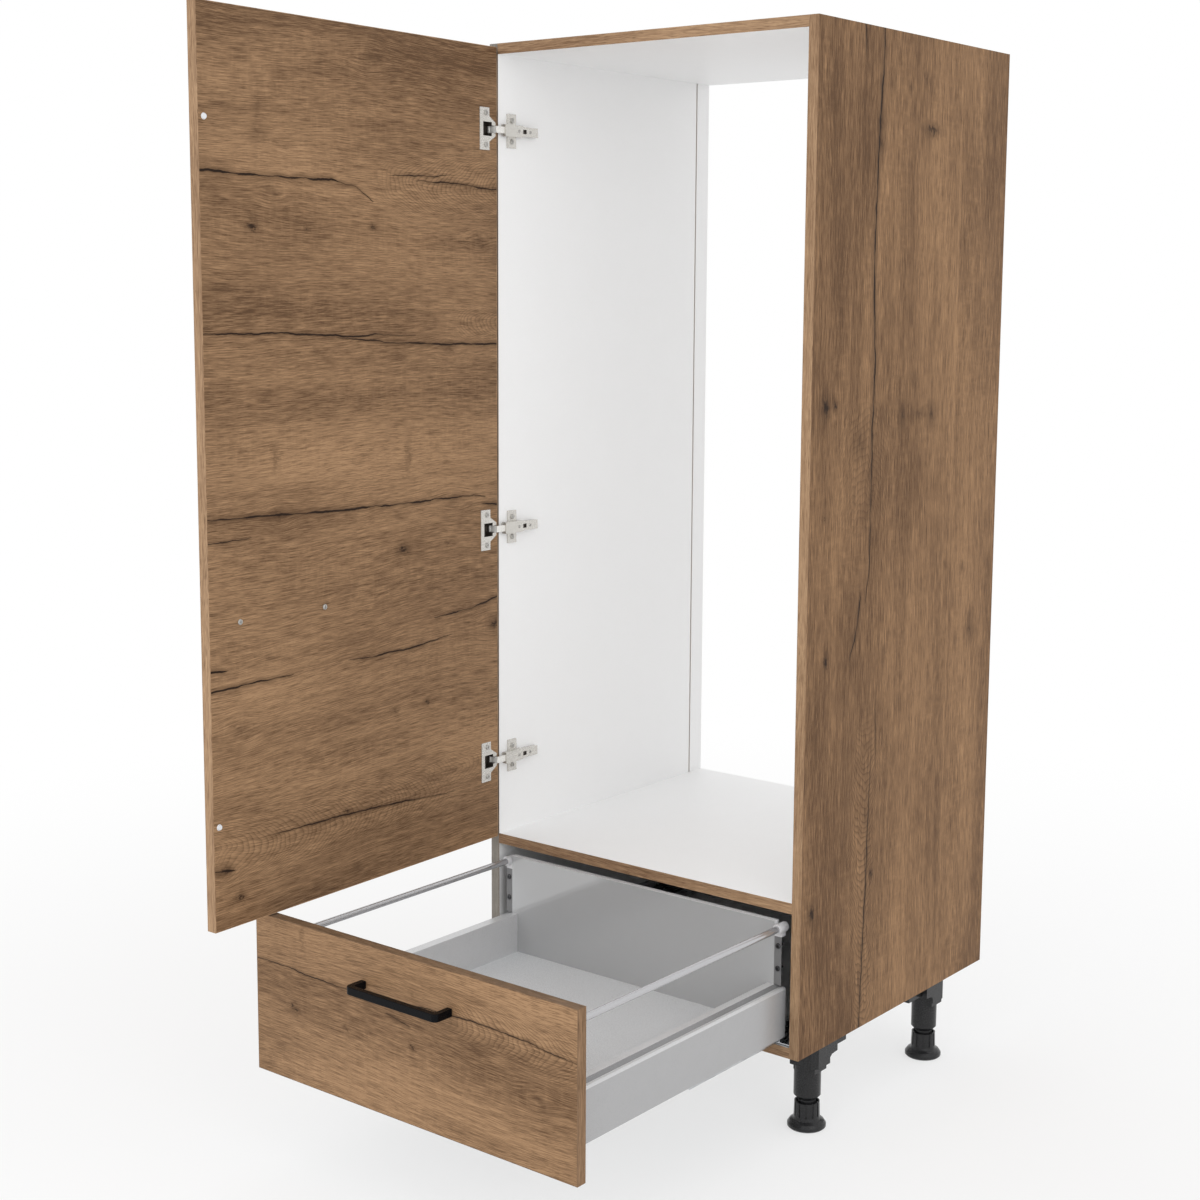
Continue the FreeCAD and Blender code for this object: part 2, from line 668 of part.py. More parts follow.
def drawer_front(handle, screws):
    """The drawer's front board, handle and edging."""
    outer_face = "(-front_gap - board)"
    core, band = front_board("drawer_front", f"-{FRONT_WIDTH} / 2", outer_face, DRAWER_FRONT_BOTTOM,
                             f"({DRAWER_FRONT_TOP} - {DRAWER_FRONT_BOTTOM})")
    spot = (0, outer_face, f"{DRAWER_FRONT_TOP} - drawer_handle_drop")
    screws_there = moved("drawer_handle_screw_pair", screws, *spot)
    node("drawer_front", DRAWER, cut("drawer_front_bored", core, screws_there))
    node("drawer_front_edging", DRAWER, band)
    node("drawer_handle", DRAWER, cut("drawer_handle_bored", moved("drawer_bow", handle, *spot), screws_there))
    node("drawer_handle_screws", DRAWER, screws_there)


def both_sides(label, carrier, solid):
    """A right-hand piece and its left-hand twin, as two sub-parts."""
    node(f"{label}_right", carrier, solid)
    node(f"{label}_left", carrier, mirrored(f"{label}_twin", solid))


def drawer_side():
    """A double-wall metal side: a sheet folded over a stepped top, open below, with a ledge for the base."""
    ridge = f"({SIDE_IN} + side_ridge)"
    step_low = f"({SIDE_TOP} - side_step)"
    ramp = "2 * side_step"
    shoulder = f"({SIDE_OUT} - side_shoulder)"
    outside = [
        (f"{SIDE_IN} - side_shelf", BASE_Z),
        (SIDE_IN, BASE_Z),
        (SIDE_IN, SIDE_TOP),
        (ridge, SIDE_TOP),
        (f"{ridge} + {ramp}", step_low),
        (shoulder, step_low),
        (SIDE_OUT, f"{step_low} - side_shoulder"),
        (SIDE_OUT, BASE_Z),
    ]
    inside = [
        (f"{SIDE_OUT} - side_sheet", BASE_Z),
        (f"{SIDE_OUT} - side_sheet", f"{step_low} - side_shoulder - side_sheet / 2"),
        (f"{shoulder} - side_sheet / 2", f"{step_low} - side_sheet"),
        (f"{ridge} + {ramp} - side_sheet / 4", f"{step_low} - side_sheet"),
        (f"{ridge} - side_sheet / 4", f"{SIDE_TOP} - side_sheet"),
        (f"{SIDE_IN} + side_sheet", f"{SIDE_TOP} - side_sheet"),
        (f"{SIDE_IN} + side_sheet", f"{BASE_Z} - side_sheet"),
        (f"{SIDE_IN} - side_shelf", f"{BASE_Z} - side_sheet"),
    ]
    side = extruded("side_sheet_fold", "XZ_Plane", outside + inside, SIDE_LENGTH, backwards=True)
    return place(side, y="-front_gap")


def drawer_back():
    """A folded steel back: wide above the sides, narrow between them, with its edges turned to the rear."""
    half = [(SIDE_IN, BASE_Z), (SIDE_IN, SIDE_TOP), (BACK_HALF, SIDE_TOP), (BACK_HALF, BACK_TOP)]
    face = extruded("back_face", "XZ_Plane", half + [(f"-{x}", z) for x, z in reversed(half)],
                    "side_sheet", backwards=True)
    place(face, y=BACK_Y)
    top = box("back_top_flange", f"2 * {BACK_HALF}", "back_flange", "side_sheet",
              f"-{BACK_HALF}", BACK_Y, f"{BACK_TOP} - side_sheet")
    end = box("back_end_flange", "side_sheet", "back_flange", f"{BACK_TOP} - {SIDE_TOP}",
              f"{BACK_HALF} - side_sheet", BACK_Y, SIDE_TOP)
    return join("back_fold", face, top, end, mirrored("back_end_flange_left", end))


def back_bracket():
    """An upright angle that ties the back to the side: a strip beside the back, a web and a lap behind it."""
    front, rear = BACK_Y, f"({BACK_Y} + back_flange)"
    web = f"{BACK_HALF} + bracket_sheet"
    plan = [
        (BACK_HALF, front),
        (f"{BACK_HALF} + bracket_width", front),
        (f"{BACK_HALF} + bracket_width", f"{front} + bracket_sheet"),
        (web, f"{front} + bracket_sheet"),
        (web, f"{rear} + bracket_sheet"),
        (f"{BACK_HALF} - bracket_lap", f"{rear} + bracket_sheet"),
        (f"{BACK_HALF} - bracket_lap", rear),
        (BACK_HALF, rear),
    ]
    angle = place(extruded("bracket_angle", "XY_Plane", plan, f"{BRACKET_TOP} - {SIDE_TOP}"), z=SIDE_TOP)
    screws = group("bracket_screws_right", *[
        screw(f"bracket_screw_{name}", f"{BACK_HALF} + bracket_width / 2 + bracket_sheet / 2",
              f"{BACK_Y} - screw_head", level, ALONG_Y)
        for name, level in (
            ("low", f"{SIDE_TOP} + bracket_screw_low"),
            ("high", f"{BRACKET_TOP} - bracket_screw_high"),
        )
    ])
    return cut("bracket_bored", angle, screws), screws


def rail_pieces():
    """A round rail, its socket on the front and its holder on top of the back bracket."""
    holder_y = f"({BACK_Y} - rail_holder_lead)"
    start = "(rail_socket_length - rail_seat - front_gap)"
    end = f"({holder_y} + rail_holder_lead + rail_seat)"
    rail = rod("rail_bar", "rail_radius", f"{end} - {start}", RAIL_X, start, RAIL_Z, ALONG_Y)
    socket = rod("rail_socket", "rail_socket_radius", "rail_socket_length", RAIL_X, "-front_gap", RAIL_Z, ALONG_Y)
    barrel = rod("rail_barrel", "rail_holder_radius", "rail_holder_length", RAIL_X, holder_y, RAIL_Z, ALONG_Y)
    tongue = box("rail_tongue", "bracket_width", "back_flange + bracket_sheet", "bracket_gap",
                 BACK_HALF, BACK_Y, BRACKET_TOP)
    holder = cut("rail_holder_bored", join("rail_holder_solid", barrel, tongue), rail)
    return rail, cut("rail_socket_bored", socket, rail), holder


def front_fixing():
    """An angle inside the hollow side: a plate on the drawer front and an arm along the inner wall."""
    hollow = f"({SIDE_IN} + side_sheet)"
    low = f"({BASE_Z} + fixing_level)"
    plate = box("fixing_plate", "side_width - 3 * side_sheet", "fixing_sheet", "fixing_height",
                hollow, "-front_gap", low)
    arm = box("fixing_arm", "fixing_sheet", "fixing_arm_length", "fixing_arm_height", hollow, "-front_gap",
              f"{low} + (fixing_height - fixing_arm_height) / 2")
    return join("fixing_angle", plate, arm)


def drawer_box():
    """Sides, base, back, rails and the pieces that tie them together."""
    both_sides("drawer_side", DRAWER, drawer_side())
    base = box("base_blank", f"2 * {SIDE_IN}", DRAWER_DEPTH, "base_board", f"-{SIDE_IN}", "-front_gap", BASE_Z)
    node("drawer_base", DRAWER, base)
    node("drawer_back", DRAWER, drawer_back())
    bracket, bracket_screws = back_bracket()
    both_sides("back_bracket", DRAWER, bracket)
    node("back_bracket_screws", DRAWER, bracket_screws, mirrored("bracket_screws_left", bracket_screws))
    rail, socket, holder = rail_pieces()
    both_sides("drawer_rail", DRAWER, rail)
    node("rail_front_sockets", DRAWER, socket, mirrored("rail_socket_left", socket))
    node("rail_rear_holders", DRAWER, holder, mirrored("rail_holder_left", holder))
    fixing = front_fixing()
    node("front_fixings", DRAWER, fixing, mirrored("fixing_angle_left", fixing))


def runner_screws():
    """Screws through each cabinet runner's flange into its side panel."""
    screws = []
    for index in range(RUNNER_SCREWS):
        span = f"({RUNNER_LENGTH} - 2 * runner_screw_inset) / {RUNNER_SCREWS - 1}"
        y = f"runner_setback + runner_screw_inset + {index} * {span}"
        x = f"{INNER} - runner_sheet - screw_head"
        screws.append(screw(f"runner_screw_{index}", x, y, f"{RUNNER_Z} + runner_screw_rise", ALONG_X))
    right = group("runner_screws_right", *screws)
    return group("all_runner_screws", right, mirrored("runner_screws_left", right))


def runners(screws):
    """Three-part runners hidden in the drawer's sides: cabinet track, middle and drawer member."""
    web_top = f"({RUNNER_Z} + runner_sheet)"
    lip_top = f"({RUNNER_Z} + runner_lip)"
    lip_out = f"({TRACK_OUT} + runner_sheet)"
    lip_in = f"({TRACK_IN} - runner_sheet)"
    flange_in = f"({INNER} - runner_sheet)"
    flange_top = f"({RUNNER_Z} + runner_flange_height)"
    track = [
        (INNER, flange_top), (flange_in, flange_top), (flange_in, web_top), (lip_out, web_top),
        (lip_out, lip_top), (TRACK_OUT, lip_top), (TRACK_OUT, web_top), (TRACK_IN, web_top),
        (TRACK_IN, lip_top), (lip_in, lip_top), (lip_in, RUNNER_Z), (INNER, RUNNER_Z),
    ]
    cabinet = extruded("runner_track", "XZ_Plane", track, RUNNER_LENGTH, backwards=True)
    place(cabinet, y="runner_setback")
    both_sides("cabinet_runner", CARCASS, cut("runner_track_bored", cabinet, screws))
    node("runner_screws", CARCASS, screws)

    out, within = f"({TRACK_OUT} - runner_play)", f"({TRACK_IN} + runner_play)"
    foot = f"({web_top} + runner_play)"
    roof = f"({MIDDLE_TOP} - middle_sheet)"
    channel = [
        (within, foot), (f"{within} + middle_sheet", foot), (f"{within} + middle_sheet", roof),
        (f"{out} - middle_sheet", roof), (f"{out} - middle_sheet", foot), (out, foot),
        (out, MIDDLE_TOP), (within, MIDDLE_TOP),
    ]
    middle = extruded("runner_channel", "XZ_Plane", channel, f"{RUNNER_LENGTH} - middle_short", backwards=True)
    place(middle, y="runner_setback + middle_short")
    both_sides("middle_runner", RUNNER_MIDDLE, middle)

    under = f"({MIDDLE_TOP} + runner_play)"
    over = f"({under} + runner_sheet)"
    skirt = f"({over} - drawer_runner_lip)"
    wall = f"({SIDE_IN} + side_sheet)"
    cap = [
        (wall, under), (lip_in, under), (lip_in, skirt), (TRACK_IN, skirt), (TRACK_IN, under),
        (TRACK_OUT, under), (TRACK_OUT, skirt), (lip_out, skirt), (lip_out, over), (wall, over),
    ]
    member = extruded("runner_cap", "XZ_Plane", cap, f"{SIDE_LENGTH} - fixing_sheet", backwards=True)
    place(member, y="fixing_sheet - front_gap")
    both_sides("drawer_runner", DRAWER, member)


def socket_screws():
    """Two screws up through a foot socket's tongue into the bottom panel, about x = 0, y = 0."""
    pair = [
        screw(f"socket_screw_{index}", f"0 {sign} socket_screw_pitch / 2", "socket_screw_setback",
              "foot_height - socket_tongue_drop - screw_head", ALONG_Z, "socket_tongue_drop + screw_length")
        for index, sign in enumerate("-+")
    ]
    return group("socket_screw_pair", *pair)


def foot_socket(screws):
    """A stepped bracket with a tail and a tongue over a round socket, for the front right corner."""
    plan = [
        ("-socket_inner", "-socket_front"),
        ("socket_outer - socket_corner", "-socket_front"),
        ("socket_outer", "socket_corner - socket_front"),
        ("socket_outer", "socket_tail"),
        ("socket_tongue_half", "socket_tail"),
        ("socket_tongue_half", "socket_tongue"),
        ("-socket_tongue_half", "socket_tongue"),
        ("-socket_tongue_half", "socket_tail"),
        ("-socket_inner", "socket_tail"),
    ]
    profile = [
        ("-socket_front", 0),
        ("socket_tongue", 0),
        ("socket_tongue", "-socket_tongue_drop"),
        ("socket_tail", "-socket_tongue_drop"),
        ("socket_tail", "-socket_tail_drop"),
        ("socket_rear + socket_step", "-socket_tail_drop - socket_step / 4"),
        ("socket_rear", "-socket_tail_drop - socket_step"),
        ("socket_rear", "-socket_drop"),
        ("-socket_front", "-socket_drop"),
    ]
    seen_from_above = extruded("socket_plan", "XY_Plane", plan, "socket_drop")
    place(seen_from_above, z="foot_height - socket_drop")
    seen_from_side = extruded("socket_profile", "YZ_Plane", profile, "socket_inner + socket_outer")
    place(seen_from_side, x="-socket_inner", z="foot_height")
    bracket = doc.addObject("Part::MultiCommon", "socket_bracket")
    bracket.Shapes = [seen_from_above, seen_from_side]
    lip = box("socket_lip_block", "socket_inner + socket_outer - 2 * socket_lip_inset",
              "socket_front + socket_rear - 2 * socket_lip_inset", "socket_lip",
              "socket_lip_inset - socket_inner", "socket_lip_inset - socket_front",
              "foot_height - socket_drop - socket_lip")
    tube_low = f"({SOCKET_END} + socket_taper)"
    tube = rod("socket_tube", "socket_tube_radius", f"foot_height - socket_drop - {tube_low}", 0, 0, tube_low)
    mouth = cone("socket_mouth", "socket_mouth_radius", "socket_tube_radius", "socket_taper", 0, 0, SOCKET_END)
    bore = rod("socket_bore", "stem_radius + stem_clearance", "stem_engaged + bore_spare", 0, 0, SOCKET_END)
    return cut("socket_whole", join("socket_solid", bracket, lip, tube, mouth), bore, screws)


def foot_adjuster():
    """Stem, fluted collar and flared base turned in one, standing on z = 0."""
    flare = "(base_rim + collar_rise) / 2"
    stem_top = f"{SOCKET_END} + stem_engaged"
    half = [
        (0, 0),
        ("base_radius - base_chamfer", 0),
        ("base_radius", "base_chamfer"),
        ("base_radius", "base_rim"),
        ("(2 * base_radius + collar_radius) / 3", f"{flare} - base_chamfer / 2"),
        ("collar_radius + base_chamfer / 2", f"{flare} + base_chamfer"),
        ("collar_radius", "collar_rise"),
        ("collar_tip_radius", COLLAR_TOP),
        ("collar_bore_radius", COLLAR_TOP),
        ("collar_bore_radius", f"{COLLAR_TOP} - collar_bore_depth"),
        ("stem_radius", f"{COLLAR_TOP} - collar_bore_depth"),
        ("stem_radius", stem_top),
        (0, stem_top),
    ]
    body = turned("foot", half)
    inner, outer = "collar_tip_radius - flute_depth", "collar_radius + edging"
    low, high = "-flute_width / 2", "flute_width / 2"
    sketch = outline(body, "foot_flute", "XY_Plane", [(inner, low), (outer, low), (outer, high), (inner, high)])
    sketch.setExpression("AttachmentOffset.Base.z", sized("collar_rise + base_chamfer"))
    doc.recompute()
    flute = body.newObject("PartDesign::Pocket", "foot_flute_cut")
    flute.Profile = sketch
    flute.Reversed = True
    bind(flute, Length=f"{COLLAR_TOP} - collar_rise")
    ring = body.newObject("PartDesign::PolarPattern", "foot_flutes")
    ring.Originals = [flute]
    ring.Axis = (sketch, ["N_Axis"])
    ring.Angle = 360
    ring.Occurrences = FLUTES
    body.Tip = ring
    return body


def at_each_foot(name, source):
    """Copies of a front right piece at the four corners, turned over so that tails point to the middle."""
    left = mirrored(f"{name}_left", source)
    corners = {
        "front_right": source,
        "front_left": left,
        "rear_right": mirrored(f"{name}_rear", source, (0, 1, 0)),
        "rear_left": mirrored(f"{name}_rear_left", left, (0, 1, 0)),
    }
    return {corner: moved(f"{name}_{corner}", piece, *FOOT_SPOTS[corner]) for corner, piece in corners.items()}


def feet(screws):
    """Four sockets and adjusters under the bottom panel."""
    for corner, socket in at_each_foot("socket", foot_socket(screws)).items():
        node(f"foot_socket_{corner}", CARCASS, socket)
    adjuster = foot_adjuster()
    for corner, spot in FOOT_SPOTS.items():
        node(f"foot_adjuster_{corner}", CARCASS, moved(f"adjuster_{corner}", adjuster, *spot))


def build():
    """Model every sub-part."""
    plate_screws = hinge_plate_screws()
    track_screws = runner_screws()
    pair = socket_screws()
    foot_screws = group("all_foot_screws", *at_each_foot("socket_screws", pair).values())
    carcass(dowels(), plate_screws, track_screws, foot_screws)
    cup, pin, cup_screws = hinge_cup()
    hinges(plate_screws, cup, pin, cup_screws)
    handle, screws = bow_handle(), handle_screws()
    door(handle, screws, cup_screws)
    drawer_front(handle, screws)
    drawer_box()
    runners(track_screws)
    feet(pair)
    node("foot_screws", CARCASS, foot_screws)


def check():
    """Stop if any object failed or any sub-part's shape isn't sound."""
    doc.recompute()
    failed = [item.Label for item in doc.Objects if {"Invalid", "Error"} & set(item.State)]
    unsound = [part.Label for part in nodes if part.Shape.isNull() or not part.Shape.isValid()]
    if failed or unsound:
        raise RuntimeError(f"failed objects: {failed}, unsound sub-parts: {unsound}")


def export():
    """Write each sub-part to a file with its name."""
    os.makedirs("parts", exist_ok=True)
    for part in nodes:
        part.Shape.exportStep(f"parts/{part.Label}.step")
        print(part.Label, len(part.Shape.Solids), round(part.Shape.Volume))


build()
check()
export()
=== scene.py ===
"""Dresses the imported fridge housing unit: oak decor fronts, white carcass, steel drawer and hinges.

Lengths are in metres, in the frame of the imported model: X to the right, Y into the unit, Z up. Only the layout of the
oak decor is in millimetres.
"""

from __future__ import annotations

import json
import logging
import math
from dataclasses import dataclass, replace
from enum import Enum
from typing import Callable, Union

import bmesh
import bpy
from mathutils import Matrix, Vector

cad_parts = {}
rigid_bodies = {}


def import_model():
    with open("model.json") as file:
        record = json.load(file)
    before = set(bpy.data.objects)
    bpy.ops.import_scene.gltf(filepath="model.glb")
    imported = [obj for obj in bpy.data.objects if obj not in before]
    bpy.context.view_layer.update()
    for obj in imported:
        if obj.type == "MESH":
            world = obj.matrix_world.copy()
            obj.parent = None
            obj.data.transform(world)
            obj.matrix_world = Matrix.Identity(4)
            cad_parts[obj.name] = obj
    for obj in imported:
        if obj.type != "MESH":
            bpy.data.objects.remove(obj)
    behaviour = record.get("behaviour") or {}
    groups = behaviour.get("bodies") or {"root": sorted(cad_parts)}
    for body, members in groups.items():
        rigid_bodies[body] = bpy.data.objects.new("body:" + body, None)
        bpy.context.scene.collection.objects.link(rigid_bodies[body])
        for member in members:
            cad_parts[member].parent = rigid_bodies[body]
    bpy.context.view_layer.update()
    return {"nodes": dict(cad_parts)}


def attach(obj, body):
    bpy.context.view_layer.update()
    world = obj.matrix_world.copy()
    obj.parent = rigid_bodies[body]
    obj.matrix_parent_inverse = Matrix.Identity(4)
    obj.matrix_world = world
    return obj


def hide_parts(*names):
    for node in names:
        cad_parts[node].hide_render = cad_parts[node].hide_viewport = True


LOG = logging.getLogger("fridge_housing")

Socket = bpy.types.NodeSocket
Feed = Union[float, tuple, Socket]
Point = tuple[float, float]
Triple = tuple[float, float, float]
Color = tuple[float, float, float, float]
Test = Callable[[bpy.types.MeshPolygon], bool]

TURN = 2.0 * math.pi
MM = 1000.0  # millimetres in a metre
NOISE_MIDDLE = 0.5
NOISE_SPAN = (0.3, 0.7)  # where nearly all of the noise lies
DOOR_SKEW = math.radians(2.0)  # what the door lacks to a right angle
SPOT_DIGITS = 6  # corners that agree to a micrometre are one


class Kind(Enum):
    """The kinds of socket that an effect has."""

    FLOAT = "NodeSocketFloat"
    VECTOR = "NodeSocketVector"
    COLOR = "NodeSocketColor"


class Way(Enum):
    """The ways that a flat face of the unit looks."""

    RIGHT = (1.0, 0.0, 0.0)
    LEFT = (-1.0, 0.0, 0.0)
    BACK = (0.0, 1.0, 0.0)
    FRONT = (0.0, -1.0, 0.0)
    UP = (0.0, 0.0, 1.0)
    DOWN = (0.0, 0.0, -1.0)

    @property
    def vector(self) -> Vector:
        """Gives the way as a vector."""
        return Vector(self.value)


def tone(red: int, green: int, blue: int) -> Color:
    """Turns a display colour into the linear colour that a shader takes, by the sRGB curve.

    Args:
        red: Red, from 0 to 255.
        green: Green, from 0 to 255.
        blue: Blue, from 0 to 255.

    Returns:
        The linear colour with full alpha.
    """
    linear = []
    for part in (red, green, blue):
        share = part / 255.0
        linear.append(share / 12.92 if share <= 0.04045 else ((share + 0.055) / 1.055) ** 2.4)
    return (linear[0], linear[1], linear[2], 1.0)


def sockets(kind: Kind, *labels: str) -> dict[str, Kind]:
    """Gives several sockets of one kind, by label."""
    return dict.fromkeys(labels, kind)


@dataclass(frozen=True)
class Noise:
    """Stretched noise: features per metre along two or three axes, finer octaves and how strong they are."""

    rate: tuple[float, ...]
    detail: float = 1.0
    rough: float = 0.5


class Graph:
    """A shorthand for laying shader nodes into one tree."""

    def __init__(self, tree: bpy.types.NodeTree) -> None:
        """Keeps the tree that nodes are added to."""
        self.tree = tree

    def node(self, kind: str, **settings: object) -> bpy.types.Node:
        """Adds one node.

        Args:
            kind: The node's type name.
            settings: Attributes to set on it.

        Returns:
            The new node.
        """
        made = self.tree.nodes.new(kind)
        for key, value in settings.items():
            setattr(made, key, value)
        return made

    def feed(self, socket: Socket, value: Feed) -> None:
        """Links a socket to an output, or sets it to a constant.

        Args:
            socket: The socket.
            value: The output or the constant.
        """
        if isinstance(value, bpy.types.NodeSocket):
            self.tree.links.new(value, socket)
        else:
            socket.default_value = value

    def feed_all(self, node: bpy.types.Node, values: tuple[Feed, ...]) -> bpy.types.Node:
        """Feeds a node's first inputs in order.

        Args:
            node: The node.
            values: What its first inputs take, in order.

        Returns:
            The node.
        """
        for socket, value in zip(node.inputs, values):
            self.feed(socket, value)
        return node

    def math(self, kind: str, *values: Feed, clamp: bool = False) -> Socket:
        """Adds a Math node.

        Args:
            kind: The operation.
            values: Its inputs, in order.
            clamp: Whether the result is held between 0 and 1.

        Returns:
            The result.
        """
        return self.feed_all(self.node("ShaderNodeMath", operation=kind, use_clamp=clamp), values).outputs[0]

    def highest(self, *values: Feed) -> Socket:
        """Finds the highest of several values.

        Args:
            values: The values.

        Returns:
            The highest of them.
        """
        found = values[0]
        for value in values[1:]:
            found = self.math("MAXIMUM", found, value)
        return found

    def vector(self, kind: str, *values: Feed) -> Socket:
        """Adds a Vector Math node whose result is a vector.

        Args:
            kind: The operation.
            values: Its vector inputs, in order.

        Returns:
            The resulting vector.
        """
        return self.feed_all(self.node("ShaderNodeVectorMath", operation=kind), values).outputs["Vector"]

    def scaled(self, vector: Socket, scale: Socket) -> Socket:
        """Multiplies a vector by a value.

        Args:
            vector: The vector.
            scale: The factor.

        Returns:
            The scaled vector.
        """
        made = self.node("ShaderNodeVectorMath", operation="SCALE")
        self.feed(made.inputs[0], vector)
        self.feed(made.inputs["Scale"], scale)
        return made.outputs["Vector"]

    def length(self, kind: str, *values: Feed) -> Socket:
        """Adds a Vector Math node whose result is a length, LENGTH or DISTANCE."""
        return self.feed_all(self.node("ShaderNodeVectorMath", operation=kind), values).outputs["Value"]

    def parts(self, vector: Socket) -> tuple[Socket, Socket, Socket]:
        """Splits a vector into its three parts."""
        return tuple(self.feed_all(self.node("ShaderNodeSeparateXYZ"), (vector,)).outputs)

    def combine(self, x: Feed, y: Feed, z: Feed) -> Socket:
        """Joins three values into a vector."""
        return self.feed_all(self.node("ShaderNodeCombineXYZ"), (x, y, z)).outputs[0]

    def here(self) -> Socket:
        """Gives the place on the object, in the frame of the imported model."""
        return self.node("ShaderNodeTexCoord").outputs["Object"]

    def noise(self, vector: Socket, noise: Noise) -> Socket:
        """Adds noise, on a plane where it has two axes.

        Args:
            vector: Where to read it.
            noise: The noise.

        Returns:
            The noise, about its middle.
        """
        made = self.node("ShaderNodeTexNoise", noise_dimensions="2D" if len(noise.rate) == 2 else "3D")
        self.feed(made.inputs["Vector"], self.vector("MULTIPLY", vector, (*noise.rate, 0.0)[:3]))
        made.inputs["Scale"].default_value = 1.0
        made.inputs["Detail"].default_value = noise.detail
        made.inputs["Roughness"].default_value = noise.rough
        return made.outputs[0]

    def swing(self, vector: Socket, noise: Noise) -> Socket:
        """Adds noise about 0."""
        return self.math("SUBTRACT", self.noise(vector, noise), NOISE_MIDDLE)

    def ease(self, value: Feed, low: Feed, high: Feed, start: float = 0.0, end: float = 1.0) -> Socket:
        """Maps a value smoothly from one range to another, held at its ends.

        Args:
            value: The value to map.
            low: Where the result is start.
            high: Where the result is end.
            start: The result at low.
            end: The result at high.

        Returns:
            The mapped value.
        """
        made = self.node("ShaderNodeMapRange", interpolation_type="SMOOTHSTEP", clamp=True)
        return self.feed_all(made, (value, low, high, start, end)).outputs[0]

    def blend(self, share: Feed, first: Feed, second: Feed) -> Socket:
        """Mixes two colours.

        Args:
            share: How much of the second shows.
            first: The first colour.
            second: The second colour.

        Returns:
            The mixed colour.
        """
        made = self.node("ShaderNodeMix", data_type="RGBA", clamp_factor=True)
        for index, value in ((0, share), (6, first), (7, second)):
            self.feed(made.inputs[index], value)
        return made.outputs[2]

    def place(self, group: "Effect", **values: Feed) -> bpy.types.Node:
        """Places a node group with its own values.

        Args:
            group: The effect to place.
            values: Its inputs, by name with underscores for spaces.

        Returns:
            The group node.
        """
        made = self.node("ShaderNodeGroup", node_tree=group.tree())
        for key, value in values.items():
            self.feed(made.inputs[key.replace("_", " ")], value)
        return made

    def seen(self) -> Socket:
        """Tells whether a ray shows what it meets: to the camera, or through a gloss or a glass."""
        rays = self.node("ShaderNodeLightPath").outputs
        return self.highest(rays["Is Camera Ray"], rays["Is Glossy Ray"], rays["Is Transmission Ray"])

    def surface(self, shader: Socket, kind: str = "ShaderNodeOutputMaterial") -> None:
        """Ends the tree in its output node."""
        self.feed(self.node(kind).inputs["Surface"], shader)


class Effect:
    """A shader node group that is built once and placed in many materials."""

    name = "effect"
    inputs: dict[str, Kind] = {}
    outputs: dict[str, Kind] = {}
    _trees: dict[str, bpy.types.NodeTree] = {}

    def tree(self) -> bpy.types.NodeTree:
        """Builds the group's tree on first use.

        Returns:
            The tree.
        """
        if self.name not in Effect._trees:
            made = bpy.data.node_groups.new(self.name, "ShaderNodeTree")
            for side, labels in (("INPUT", self.inputs), ("OUTPUT", self.outputs)):
                for label, kind in labels.items():
                    made.interface.new_socket(label, in_out=side, socket_type=kind.value)
            graph = Graph(made)
            given = graph.node("NodeGroupInput").outputs
            result = graph.node("NodeGroupOutput").inputs
            for label, socket in self.lay(graph, {label: given[label] for label in self.inputs}).items():
                graph.feed(result[label], socket)
            Effect._trees[self.name] = made
        return Effect._trees[self.name]

    def lay(self, graph: Graph, given: dict[str, Socket]) -> dict[str, Socket]:
        """Lays the group's nodes.

        Args:
            graph: The group's tree.
            given: The group's inputs by name.

        Returns:
            The sockets that feed the group's outputs, by name.
        """
        raise NotImplementedError


class GrainFlow(Effect):
    """Bends straight grain into slow waves, and gives the jittered places of knots and splits."""

    name = "grain_flow"
    inputs = sockets(Kind.VECTOR, "Spot", "Bowed", "Seed")
    outputs = {**sockets(Kind.VECTOR, "Grain", "Knot Spot"), **sockets(Kind.FLOAT, "Split Across", "Open")}
    slow, slow_bend = Noise((2.2, 6.0), 0.0), 0.030
    quick, quick_bend = Noise((13.0, 30.0), 0.0), 0.004
    knot, knot_drift = Noise((90.0, 190.0), 2.0, 0.7), (0.022, -0.016)
    split, split_drift = Noise((26.0, 4.0), 3.0, 0.6), 0.006
    gape = Noise((20.0, 2.0), 1.0, 0.6)

    def lay(self, graph: Graph, given: dict[str, Socket]) -> dict[str, Socket]:
        """Lays the bends of the grain and the two kinds of jitter.

        Args:
            graph: The group's graph.
            given: The group's inputs by name.

        Returns:
            The sockets that feed the group's outputs, by name.
        """
        spot = graph.vector("ADD", given["Spot"], given["Seed"])
        slow = graph.swing(spot, self.slow)
        quick = graph.math("MULTIPLY", graph.swing(spot, self.quick), self.quick_bend)
        bend = graph.math("MULTIPLY_ADD", slow, self.slow_bend, quick)
        grain = graph.vector("ADD", given["Bowed"], graph.combine(0.0, bend, 0.0))
        uneven = graph.swing(spot, self.knot)
        along, across = (graph.math("MULTIPLY", uneven, reach) for reach in self.knot_drift)
        jitter = graph.swing(spot, self.split)
        return {
            "Grain": graph.vector("ADD", grain, given["Seed"]),
            "Knot Spot": graph.vector("ADD", given["Spot"], graph.combine(along, across, 0.0)),
            "Split Across": graph.math("MULTIPLY_ADD", jitter, self.split_drift, graph.parts(given["Spot"])[1]),
            "Open": graph.noise(spot, self.gape),
        }


